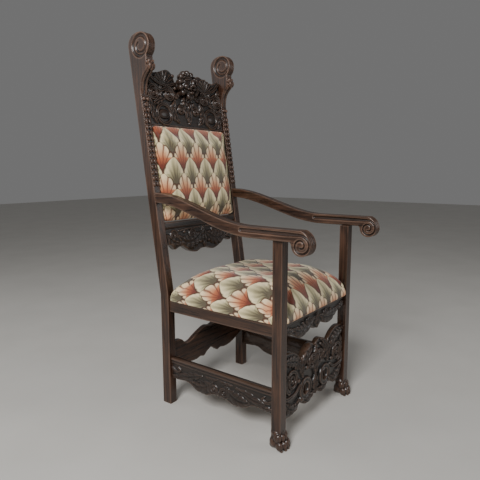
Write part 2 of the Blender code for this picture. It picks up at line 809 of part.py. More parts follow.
def crest_board():
    """The carved crest between the posts, with its mask."""
    half_width = BACK_WIDTH / 2 - POST_WIDTH - GAP
    bottom = up_the_rake(BACK_PAD_TOP + PAD_CLEARANCE)
    board = Board(half_width, bottom, up_the_rake(CREST_TOP) - bottom, CREST_RELIEF)
    upper = [(0, 0.88), (0.12, 0.84), (0.19, 0.74), (0.24, 0.73), (0.28, 0.86), (0.34, 0.95),
             (0.43, 0.985), (0.54, 0.955), (0.72, 0.895), (0.88, 0.92), (1.0, 0.965)]
    outline = board.loop(upper, [(0, 0), (0.5, 0), (1, 0)])
    motifs = [
        board.fan((0.57, 0.70), 0.26, (12, 168), 8),
        board.scroll([(0.26, 0.76), (0.50, 0.70), (0.76, 0.74), (0.98, 0.90)], (0.024, 0.024), 0.9),
        board.boss((0.33, 0.88), (0.040, 0.036), 1.1),
        board.boss((0.31, 0.67), (0.036, 0.036), 1.1),
        board.curl((0.85, 0.54), (0.125, 0.020), (80, -520), (0.034, 0.020)),
        board.curl((0.48, 0.55), (0.115, 0.020), (100, 700), (0.034, 0.020)),
        board.scroll([(0.83, 0.67), (0.67, 0.60), (0.50, 0.67)], (0.030, 0.030)),
        board.boss((0.64, 0.20), (0.130, 0.085), 0.9),
        board.curl((0.64, 0.20), (0.165, 0.165), (0, 360), (0.026, 0.026), 0.8),
        board.leaf([(0.97, 0.48), (0.94, 0.32), (0.89, 0.16), (0.84, 0.05)], 0.075, 4),
        board.leaf([(0.34, 0.46), (0.39, 0.30), (0.36, 0.16), (0.28, 0.08)], 0.080, 4),
        board.leaf([(0.60, 0.46), (0.74, 0.42), (0.88, 0.34)], 0.060, 3),
        board.leaf([(0.03, 0.62), (0.06, 0.44), (0.03, 0.26), (0.0, 0.08)], 0.095, 4),
        board.curl((0.19, 0.30), (0.090, 0.018), (150, -330), (0.026, 0.018)),
        board.boss((0.0, 0.57), (0.050, 0.045), 1.25),
        board.boss((0.13, 0.42), (0.036, 0.050), 1.2),
        board.boss((0.0, 0.36), (0.034, 0.055), 1.2),
    ]
    mesh = carved_board([outline], motifs, CREST_THICKNESS, CREST_FACES)
    mask = lump(mask_lumps(up_the_rake(MASK_HEIGHT)), MASK_FACES)
    return joined(mesh, [mask], "UNION", "MANIFOLD")


def mask_lumps(level):
    """The lumps of the crest's grotesque mask, with its mane, about a middle at this height."""
    unit = MASK_SIZE / 2
    face = [((0, -0.08, 0), (1.15, 0.85, 1.30)), ((0.42, -0.62, 0.42), (0.50, 0.34, 0.22)),
            ((0, -0.92, -0.05), (0.24, 0.40, 0.50)), ((0.22, -0.86, -0.36), (0.22, 0.26, 0.20)),
            ((0.62, -0.48, -0.26), (0.40, 0.38, 0.46)), ((0.38, -0.76, -0.66), (0.40, 0.26, 0.20)),
            ((0, -0.48, -1.10), (0.44, 0.42, 0.34)), ((0.46, -0.20, -1.32), (0.32, 0.32, 0.32))]
    mane = []
    for degrees in (0, 30, 60, 90):
        angle = math.radians(degrees)
        mane.append(((1.35 * math.cos(angle), -0.10, 1.50 * math.sin(angle)), (0.42, 0.50, 0.42)))
    lumps = []
    for (x, y, z), radii in face + mane:
        centre = (x * unit if abs(x) > 1e-6 else 0.0, y * unit, level + z * unit)
        lumps.append((centre, tuple(radius * unit for radius in radii)))
    return lumps


def lower_back_rail():
    """The carved rail below the back pad."""
    half_width = BACK_WIDTH / 2 - POST_WIDTH - GAP
    bottom = up_the_rake(LOWER_RAIL_BOTTOM)
    board = Board(half_width, bottom, up_the_rake(BACK_PAD_BOTTOM - PAD_CLEARANCE) - bottom,
                  LOWER_RAIL_RELIEF)
    lower = [(0, 0.08), (0.10, 0.07), (0.24, 0.0), (0.40, 0.06), (0.52, 0.17), (0.60, 0.25),
             (0.70, 0.22), (0.79, 0.18), (0.88, 0.32), (1.0, 0.36)]
    outline = board.loop([(0, 1), (0.5, 1), (1, 1)], lower)
    motifs = [
        board.band(0.80, 1.0, 0.5),
        board.leaf([(0.06, 0.56), (0.28, 0.36), (0.50, 0.34), (0.66, 0.52)], 0.24, 6),
        board.leaf([(0.96, 0.60), (0.82, 0.40), (0.68, 0.34)], 0.17, 3),
        board.curl((0.80, 0.60), (0.13, 0.03), (200, -280), (0.050, 0.035)),
        board.curl((0.30, 0.58), (0.13, 0.03), (340, 800), (0.050, 0.035)),
        board.leaf([(0.0, 0.72), (0.0, 0.40), (0.0, 0.12)], 0.17, 3, 1.1),
        board.boss((0.12, 0.30), (0.055, 0.070), 1.1),
        board.boss((0.52, 0.66), (0.050, 0.050)),
    ]
    return carved_board([outline], motifs, LOWER_RAIL_THICKNESS, LOWER_RAIL_FACES)


def front_rail():
    """The seat's front rail with its carved apron."""
    half_width = FRONT_WIDTH / 2 - LEG_SIZE - GAP
    board = Board(half_width, RAIL_TOP - APRON_HEIGHT, APRON_HEIGHT, APRON_RELIEF)
    lower = [(0, 0.08), (0.09, 0.12), (0.19, 0.26), (0.27, 0.12), (0.42, 0.0), (0.54, 0.02),
             (0.66, 0.22), (0.80, 0.36), (1.0, 0.46)]
    outline = board.loop([(0, 1), (0.5, 1), (1, 1)], lower)
    motifs = [
        board.band(0.84, 1.0, 0.45),
        board.leaf([(0.10, 0.62), (0.30, 0.40), (0.52, 0.34), (0.74, 0.58)], 0.30, 6),
        board.leaf([(0.96, 0.70), (0.86, 0.58), (0.74, 0.56)], 0.18, 3),
        board.curl((0.30, 0.62), (0.19, 0.04), (200, -260), (0.075, 0.050)),
        board.leaf([(0.0, 0.84), (0.0, 0.45), (0.0, 0.14)], 0.24, 3, 1.15),
        board.boss((0.46, 0.66), (0.085, 0.085)),
    ]
    return carved_board([outline], motifs, APRON_THICKNESS, APRON_FACES)


def front_stretcher():
    """The deep carved stretcher between the front legs, pierced inside its two rings."""
    half_width = FRONT_WIDTH / 2 - LEG_SIZE - GAP
    board = Board(half_width, FRONT_STRETCHER_BOTTOM, FRONT_STRETCHER_HEIGHT, FRONT_STRETCHER_RELIEF)
    upper = [(0, 0.86), (0.07, 0.93), (0.17, 0.95), (0.28, 0.92), (0.38, 0.86), (0.45, 0.80),
             (0.52, 0.87), (0.66, 0.95), (0.82, 0.985), (1.0, 0.96)]
    lower = [(0, 0.09), (0.10, 0.10), (0.22, 0.05), (0.33, 0.05), (0.44, 0.11), (0.54, 0.12),
             (0.64, 0.07), (0.74, 0.02), (0.86, 0.03), (1.0, 0.05)]
    outline = board.loop(upper, lower)
    opening = board.oval((0.33, 0.31), (0.055, 0.085))
    motifs = [
        board.curl((0.33, 0.31), (0.130, 0.130), (0, 360), (0.045, 0.045)),
        board.curl((0.75, 0.56), (0.170, 0.020), (-60, 640), (0.034, 0.020)),
        board.leaf([(0.98, 0.90), (0.80, 0.86), (0.62, 0.80), (0.50, 0.66)], 0.095, 5),
        board.leaf([(0.20, 0.92), (0.36, 0.80), (0.44, 0.66), (0.42, 0.52)], 0.085, 5),
        board.leaf([(0.96, 0.30), (0.82, 0.16), (0.66, 0.12), (0.54, 0.20)], 0.085, 5),
        board.leaf([(0.05, 0.16), (0.16, 0.12), (0.30, 0.10), (0.42, 0.17)], 0.060, 4),
        board.scroll([(0.98, 0.46), (0.96, 0.36), (0.84, 0.33), (0.66, 0.34), (0.52, 0.42)], (0.034, 0.026)),
        board.curl((0.13, 0.66), (0.110, 0.020), (120, -420), (0.030, 0.020)),
        board.leaf([(0.0, 0.86), (0.0, 0.64), (0.0, 0.44)], 0.100, 4, 1.2),
        board.leaf([(0.0, 0.42), (0.02, 0.28), (0.0, 0.12)], 0.070, 3, 1.1),
        board.boss((0.46, 0.18), (0.050, 0.050), 1.2),
        board.boss((0.56, 0.50), (0.036, 0.036), 1.1),
        board.boss((0.30, 0.62), (0.036, 0.036), 1.1),
    ]
    loops = [outline] + mirrored_pair(opening)
    return carved_board(loops, motifs, FRONT_STRETCHER_THICKNESS, FRONT_STRETCHER_FACES)


def side_stretcher():
    """A side stretcher, carved on its outer face: a moulding over two leaves that meet in the middle."""
    half_width = (SEAT_DEPTH - LEG_SIZE) / 2 - GAP
    board = Board(half_width, SIDE_STRETCHER_BOTTOM, SIDE_STRETCHER_HEIGHT, SIDE_STRETCHER_RELIEF)
    lower = [(0, 0.09), (0.06, 0.17), (0.13, 0.12), (0.27, 0.0), (0.42, 0.03), (0.52, 0.10),
             (0.60, 0.20), (0.70, 0.24), (0.84, 0.21), (1.0, 0.20)]
    outline = board.loop([(0, 1), (0.5, 1), (1, 1)], lower)
    motifs = [
        board.band(0.83, 1.0, 0.9),
        board.leaf([(0.10, 0.44), (0.28, 0.32), (0.48, 0.40), (0.68, 0.44)], 0.27, 7),
        board.leaf([(0.60, 0.62), (0.76, 0.44), (0.92, 0.40)], 0.16, 4),
        board.curl((0.09, 0.42), (0.17, 0.04), (60, -480), (0.055, 0.035)),
        board.leaf([(0.78, 0.58), (0.88, 0.62), (0.97, 0.52)], 0.10, 3),
        board.boss((0.0, 0.26), (0.07, 0.10)),
    ]
    return carved_board([outline], motifs, SIDE_STRETCHER_THICKNESS, SIDE_STRETCHER_FACES)


def back_stretcher():
    """The plain shaped board between the back posts."""
    half_width = BACK_WIDTH / 2 - POST_WIDTH - GAP
    board = Board(half_width, BACK_STRETCHER_BOTTOM, BACK_STRETCHER_HEIGHT, 0.0)
    upper = [(0, 0.96), (0.14, 1.0), (0.30, 0.92), (0.46, 0.80), (0.58, 0.70), (0.70, 0.71),
             (0.82, 0.88), (1.0, 0.89)]
    lower = [(0, 0.20), (0.12, 0.10), (0.20, 0.0), (0.30, 0.04), (0.42, 0.0), (0.62, 0.03),
             (0.82, 0.15), (1.0, 0.30)]
    right = np.vstack([smooth_curve(board.at(upper), 3), smooth_curve(board.at(lower), 3)[::-1]])
    outline = np.vstack([right, (right[::-1] * (-1, 1))[1:-1]])
    mesh = slab(outline, BACK_STRETCHER_THICKNESS)
    return mesh


def rounded_loop(low, high, radius):
    """A rectangle with round corners, symmetric about X = 0."""
    right = [(0, low[1])] + corner((high[0] - radius, low[1] + radius), radius, -90)
    right += corner((high[0] - radius, high[1] - radius), radius, 0) + [(0, high[1])]
    right = np.array(right)
    return np.vstack([right, (right[::-1] * (-1, 1))[1:-1]])


def corner(centre, radius, start):
    """A quarter circle from this angle on, as points."""
    return [(centre[0] + radius * math.cos(math.radians(start + turn)),
             centre[1] + radius * math.sin(math.radians(start + turn))) for turn in (0, 22.5, 45, 67.5, 90)]


def padded_form(loop, edge, crown, squareness, depth):
    """A crowned pad inside the loop: its rim rounds over from the edge height up to the crown.

    A high squareness spreads the crown nearly to the rim, a low one makes it a dome.
    """
    low, high = loop.min(axis=0), loop.max(axis=0)
    middle = (low + high) / 2
    half = (high - low) / 2

    def front(x, z):
        across = np.clip(np.abs(x - middle[0]) / half[0], 0, 1)
        along = np.clip(np.abs(z - middle[1]) / half[1], 0, 1)
        rim = np.sqrt(np.clip((1 - across ** 30) * (1 - along ** 30), 0, 1))
        return edge * (0.5 + 0.5 * rim) + crown * (1 - across ** squareness) * (1 - along ** squareness)

    return raised([loop], PAD_CELL, front, depth, PAD_FACES)


def build_back(chair):
    """The back: its posts, and between them the crest, the pad and the lower rail."""
    mesh_right = back_post()
    x = (BACK_WIDTH - POST_WIDTH) / 2
    place("back_post_right", mesh_right, WOOD, chair, (-x, SEAT_DEPTH, 0))
    place("back_post_left", mesh_right.copy(), WOOD, chair, (x, SEAT_DEPTH, 0))
    plane = empty("raked_plane", chair, (0, SEAT_DEPTH, KINK_HEIGHT), (-RAKE, 0, 0))
    place("crest_panel", crest_board(), WOOD, plane, (0, CREST_SETBACK, 0))
    place("lower_back_rail", lower_back_rail(), WOOD, plane, (0, LOWER_RAIL_SETBACK, 0))
    half_width = BACK_WIDTH / 2 - POST_WIDTH - PAD_CLEARANCE
    low, high = up_the_rake(BACK_PAD_BOTTOM), up_the_rake(BACK_PAD_TOP)
    loop = rounded_loop((-half_width, low), (half_width, high), PAD_CORNER)
    pad = padded_form(loop, BACK_PAD_PROUD, BACK_PAD_CROWN, BACK_PAD_SQUARENESS, BACK_PAD_DEPTH)
    place("back_pad", pad, FABRIC, plane)


def build_seat(chair):
    """The seat: its four rails and the pad that lies over them."""
    setback = RAIL_SETBACK + APRON_RELIEF
    place("seat_rail_front", front_rail(), WOOD, chair, (0, setback, 0))
    low = RAIL_TOP - RAIL_HEIGHT
    outer = min(FRONT_WIDTH, BACK_WIDTH) / 2 - RAIL_SETBACK
    side = box((outer - RAIL_THICKNESS, LEG_SIZE + GAP, low), (outer, SEAT_DEPTH - GAP, RAIL_TOP))
    place("seat_rail_left", side, WOOD, chair)
    other = box((-outer, LEG_SIZE + GAP, low), (RAIL_THICKNESS - outer, SEAT_DEPTH - GAP, RAIL_TOP))
    place("seat_rail_right", other, WOOD, chair)
    half_width = BACK_WIDTH / 2 - POST_WIDTH - GAP
    front = SEAT_DEPTH + RAIL_SETBACK
    rear = box((-half_width, front, low), (half_width, front + RAIL_THICKNESS, RAIL_TOP))
    place("seat_rail_back", rear, WOOD, chair)
    half = FRONT_WIDTH / 2 + SEAT_PAD_BULGE
    loop = rounded_loop((-half, -SEAT_PAD_OVERHANG), (half, SEAT_DEPTH - PAD_CLEARANCE), PAD_CORNER)
    pad = padded_form(loop, SEAT_PAD_EDGE, SEAT_PAD_CROWN, SEAT_PAD_SQUARENESS, 0.0)
    inner = FRONT_WIDTH / 2 - LEG_SIZE - PAD_CLEARANCE
    deep = LEG_SIZE + PAD_CLEARANCE
    tall = 2 * (SEAT_PAD_EDGE + SEAT_PAD_CROWN)
    notches = [box((inner, -tall, -deep), (2 * half, tall, deep)),
               box((-2 * half, -tall, -deep), (-inner, tall, deep))]
    pad = joined(pad, notches, "DIFFERENCE", "MANIFOLD")
    place("seat_pad", pad, FABRIC, chair, (0, 0, RAIL_TOP + GAP), (-math.pi / 2, 0, 0))


def build_front(chair):
    """The front legs with their paws, the arms that rest on them and the carved stretcher."""
    leg = front_leg()
    x = (FRONT_WIDTH - LEG_SIZE) / 2
    place("front_leg_right", leg, WOOD, chair, (-x, LEG_SIZE / 2, 0))
    place("front_leg_left", leg.copy(), WOOD, chair, (x, LEG_SIZE / 2, 0))
    place("arm_right", arm(-1), WOOD, chair)
    place("arm_left", arm(1), WOOD, chair)
    setback = RAIL_SETBACK + FRONT_STRETCHER_RELIEF
    place("front_stretcher", front_stretcher(), WOOD, chair, (0, setback, 0))


def build_stretchers(chair):
    """The stretchers at the sides and the back."""
    mesh = side_stretcher()
    middle = (SEAT_DEPTH + LEG_SIZE) / 2
    outer = min(FRONT_WIDTH, BACK_WIDTH) / 2 - RAIL_SETBACK - SIDE_STRETCHER_RELIEF
    place("side_stretcher_right", mesh, WOOD, chair, (-outer, middle, 0), (0, 0, -math.pi / 2))
    place("side_stretcher_left", mesh.copy(), WOOD, chair, (outer, middle, 0), (0, 0, math.pi / 2))
    rear = SEAT_DEPTH + RAIL_SETBACK + BACK_STRETCHER_THICKNESS / 2
    place("back_stretcher", back_stretcher(), WOOD, chair, (0, rear, 0), (0, 0, math.pi / 2))


def main():
    """Builds the chair about its origin."""
    clear_scene()
    front = -SCROLL_OVERHANG - SCROLL_RADIUS
    back = SEAT_DEPTH + POST_DEPTH + post_lean(HEIGHT - VOLUTE_RADIUS)
    chair = empty("chair", None, (0, -(front + back) / 2, 0))
    build_back(chair)
    build_seat(chair)
    build_front(chair)
    build_stretchers(chair)


main()
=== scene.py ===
"""Dresses the carved oak throne: its carving, aged oak, polished and waxed, with painted highlight and shade,
two upholstered pads and a plain studio.

Metres, +Z up, the sitter faces -Y. Places on the chair are first given as on the maker's bench, with
depths from the front face of the front legs, and are moved to the chair's own middle at the end.
"""

import logging
import math
from dataclasses import dataclass, field
from enum import Enum
from typing import Callable, Optional, Sequence

import bmesh
import bpy
import numpy as np
from mathutils import Matrix, Vector


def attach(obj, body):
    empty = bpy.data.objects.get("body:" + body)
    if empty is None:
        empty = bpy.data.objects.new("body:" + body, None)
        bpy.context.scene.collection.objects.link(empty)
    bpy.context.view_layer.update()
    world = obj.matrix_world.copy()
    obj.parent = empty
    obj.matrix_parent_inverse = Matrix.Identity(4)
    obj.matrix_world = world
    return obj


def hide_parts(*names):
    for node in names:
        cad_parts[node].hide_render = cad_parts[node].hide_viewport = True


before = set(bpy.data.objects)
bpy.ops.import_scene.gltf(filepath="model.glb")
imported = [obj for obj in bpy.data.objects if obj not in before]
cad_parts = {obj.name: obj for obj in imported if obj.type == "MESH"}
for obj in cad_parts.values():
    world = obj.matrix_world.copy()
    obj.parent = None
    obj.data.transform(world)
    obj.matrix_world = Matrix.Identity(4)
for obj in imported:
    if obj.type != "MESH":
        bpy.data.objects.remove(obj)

LOG = logging.getLogger("throne")
Places = Sequence[tuple[float, float]]


class Grain(Enum):
    """Which way the oak's grain runs in a piece."""

    UP = (1.0, 1.0, 0.05)
    ACROSS = (0.05, 1.0, 1.0)
    ALONG = (1.0, 0.05, 1.0)


class Surface(Enum):
    """How a piece of the oak is worked."""

    PLAIN = "plain"
    CARVED = "carved"


class Side(Enum):
    """The sitter's right or left hand."""

    RIGHT = -1
    LEFT = 1


@dataclass(frozen=True)
class Bench:
    """The sizes that several pieces share."""

    height: float = 1.450
    back_width: float = 0.517
    front_width: float = 0.531
    seat_depth: float = 0.525
    gap: float = 0.0003
    post_width: float = 0.034
    post_depth: float = 0.041
    kink: float = 0.449
    rake: float = math.radians(8.43)
    leg: float = 0.036
    rail_setback: float = 0.006
    rail_top: float = 0.430
    middle: float = 0.29935

    def lean(self, z: float) -> float:
        """How far back the raked post stands at this height, from where its foot stands."""
        return math.tan(self.rake) * max(0.0, z - self.kink)

    def up_rake(self, z: float) -> float:
        """How far up the raked plane, from the kink, this height is reached."""
        return (z - self.kink) / math.cos(self.rake)

    def upright(self) -> Matrix:
        """The move from the bench to the chair's own middle."""
        return Matrix.Translation((0.0, -self.middle, 0.0))

    def raked(self, setback: float = 0.0) -> Matrix:
        """The move of a board of the back, drawn upright, onto the raked plane of the posts."""
        plane = Matrix.Translation((0.0, self.seat_depth, self.kink)) @ Matrix.Rotation(-self.rake, 4, "X")
        return self.upright() @ plane @ Matrix.Translation((0.0, setback, 0.0))


BENCH = Bench()


def linear(colour: str) -> tuple[float, float, float, float]:
    """Turns an sRGB hex value to linear light.

    Args:
        colour: the hex value, as "#rrggbb".

    Returns:
        Red, green, blue and an alpha of one.
    """
    shares = [int(colour[i:i + 2], 16) / 255 for i in (1, 3, 5)]
    light = [share / 12.92 if share <= 0.04045 else ((share + 0.055) / 1.055) ** 2.4 for share in shares]
    return light[0], light[1], light[2], 1.0


def node(tree: bpy.types.NodeTree, kind: str, inputs: Optional[dict] = None,
         **settings: object) -> bpy.types.Node:
    """Adds a node with its settings, and links or sets its inputs.

    Args:
        tree: the node tree.
        kind: the node's type.
        inputs: sockets or values by input name or number.
        settings: properties of the node.

    Returns:
        The node.
    """
    made = tree.nodes.new(kind)
    for name, value in settings.items():
        setattr(made, name, value)
    for key, value in (inputs or {}).items():
        if isinstance(value, bpy.types.NodeSocket):
            tree.links.new(value, made.inputs[key])
        else:
            made.inputs[key].default_value = value
    return made


def ramp(made: bpy.types.Node, *stops: tuple[float, str]) -> bpy.types.NodeSocket:
    """Sets a colour ramp's stops and gives its colour output.

    Args:
        made: the ramp node.
        stops: places from 0 to 1 with their hex colours.

    Returns:
        The colour socket.
    """
    band = made.color_ramp
    while len(band.elements) < len(stops):
        band.elements.new(0.5)
    for element, (place, colour) in zip(band.elements, stops):
        element.position = place
        element.color = linear(colour)
    return made.outputs["Color"]


# Finishes


@dataclass(frozen=True)
class OldOak:
    """Quarter-cut oak, fumed nearly black, oiled and waxed, its high places polished brown by hands and lit
    as a painted highlight.

    The eye sees long fine pores, hollows dark with old waxing and painted shade, and a soft polish on what
    hands touch.
    """

    grain: Grain
    surface: Surface = Surface.PLAIN
    plain: tuple[str, ...] = ("#170e0a", "#3b261b", "#553929")
    carved: tuple[str, ...] = ("#0d0907", "#20150f", "#2f2018")
    # the light brown of wear and painted highlight on proud places
    rubbed_and_highlight: str = "#7a5f4f"
    # the near black of old waxing and painted shade in hollows
    wax_and_shade: str = "#080605"
    ior: float = 1.50
    roughness: float = 0.29
    coat: float = 0.18
    coat_roughness: float = 0.22
    # how strongly wear and painted highlight show on plain and on carved pieces
    plain_wear_and_highlight: float = 1.0
    carved_wear_and_highlight: float = 0.6
    figure_mm: float = 9.0
    pore_mm: float = 1.1

    def made(self) -> bpy.types.Material:
        """The material for this grain, made once.

        Returns:
            The material.
        """
        name = "old_oak_" + self.surface.value + "_" + self.grain.name.lower()
        known = bpy.data.materials.get(name)
        if known is not None:
            return known
        material = bpy.data.materials.new(name)
        material.use_nodes = True
        tree = material.node_tree
        shader = tree.nodes["Principled BSDF"]
        place = node(tree, "ShaderNodeTexCoord").outputs["Object"]
        run = node(tree, "ShaderNodeMapping", {"Vector": place, "Scale": self.grain.value}).outputs["Vector"]
        figure = node(tree, "ShaderNodeTexNoise",
                      {"Vector": run, "Scale": 1000 / self.figure_mm, "Detail": 6.0, "Roughness": 0.62,
                       "Distortion": 0.6}).outputs["Fac"]
        cloud = node(tree, "ShaderNodeTexNoise",
                     {"Vector": place, "Scale": 9.0, "Detail": 3.0}).outputs["Fac"]
        pores = node(tree, "ShaderNodeTexNoise",
                     {"Vector": run, "Scale": 1000 / self.pore_mm, "Detail": 2.0}).outputs["Fac"]
        # proud places: wear from hands, and a painted highlight on the raised carving
        wear_and_light_marks = node(tree, "ShaderNodeAttribute", attribute_name="rubbed_and_highlight").outputs["Fac"]
        # hollow places: old waxing, and painted shade in the recesses
        hollow = node(tree, "ShaderNodeAttribute", attribute_name="hollow").outputs["Fac"]
        dark, brown, red = self.plain if self.surface is Surface.PLAIN else self.carved
        body = ramp(node(tree, "ShaderNodeValToRGB", {"Fac": figure}),
                    (0.34, dark), (0.50, brown), (0.68, red))
        patch = node(tree, "ShaderNodeMapRange",
                     {"Value": cloud, "From Min": 0.40, "From Max": 0.70, "To Max": 0.5}).outputs["Result"]
        keep = node(tree, "ShaderNodeMix", {"Factor": patch, "A": body, "B": linear(dark)},
                    data_type="RGBA").outputs["Result"]
        # painted highlight with wear: proud places mix towards the light brown
        share = node(tree, "ShaderNodeMath", {0: wear_and_light_marks, 1: figure}, operation="MULTIPLY").outputs[0]
        wear_and_highlight = self.plain_wear_and_highlight if self.surface is Surface.PLAIN else self.carved_wear_and_highlight
        share = node(tree, "ShaderNodeMath", {0: share, 1: wear_and_highlight}, operation="MULTIPLY", use_clamp=True)
        high = node(tree, "ShaderNodeMix", {"Factor": share.outputs[0], "A": keep, "B": linear(self.rubbed_and_highlight)},
                    data_type="RGBA").outputs["Result"]
        # painted shade with waxing: hollows mix towards near black
        deep = node(tree, "ShaderNodeMath", {0: hollow, 1: 0.6}, operation="MULTIPLY").outputs[0]
        skin = node(tree, "ShaderNodeMix", {"Factor": deep, "A": high, "B": linear(self.wax_and_shade)},
                    data_type="RGBA").outputs["Result"]
        tree.links.new(skin, shader.inputs["Base Color"])
        dull = node(tree, "ShaderNodeMapRange",
                    {"Value": figure, "From Min": 0.3, "From Max": 0.7, "To Min": self.roughness - 0.06,
                     "To Max": self.roughness + 0.10}).outputs["Result"]
        soft = node(tree, "ShaderNodeMath", {0: hollow, 1: 0.15, 2: dull}, operation="MULTIPLY_ADD")
        tree.links.new(soft.outputs[0], shader.inputs["Roughness"])
        fine = node(tree, "ShaderNodeMath", {0: pores, 1: 0.5, 2: figure}, operation="MULTIPLY_ADD")
        bump = node(tree, "ShaderNodeBump", {"Height": fine.outputs[0], "Strength": 0.30, "Distance": 0.0012})
        tree.links.new(bump.outputs["Normal"], shader.inputs["Normal"])
        shader.inputs["IOR"].default_value = self.ior
        shader.inputs["Coat Weight"].default_value = self.coat
        shader.inputs["Coat Roughness"].default_value = self.coat_roughness
        return material


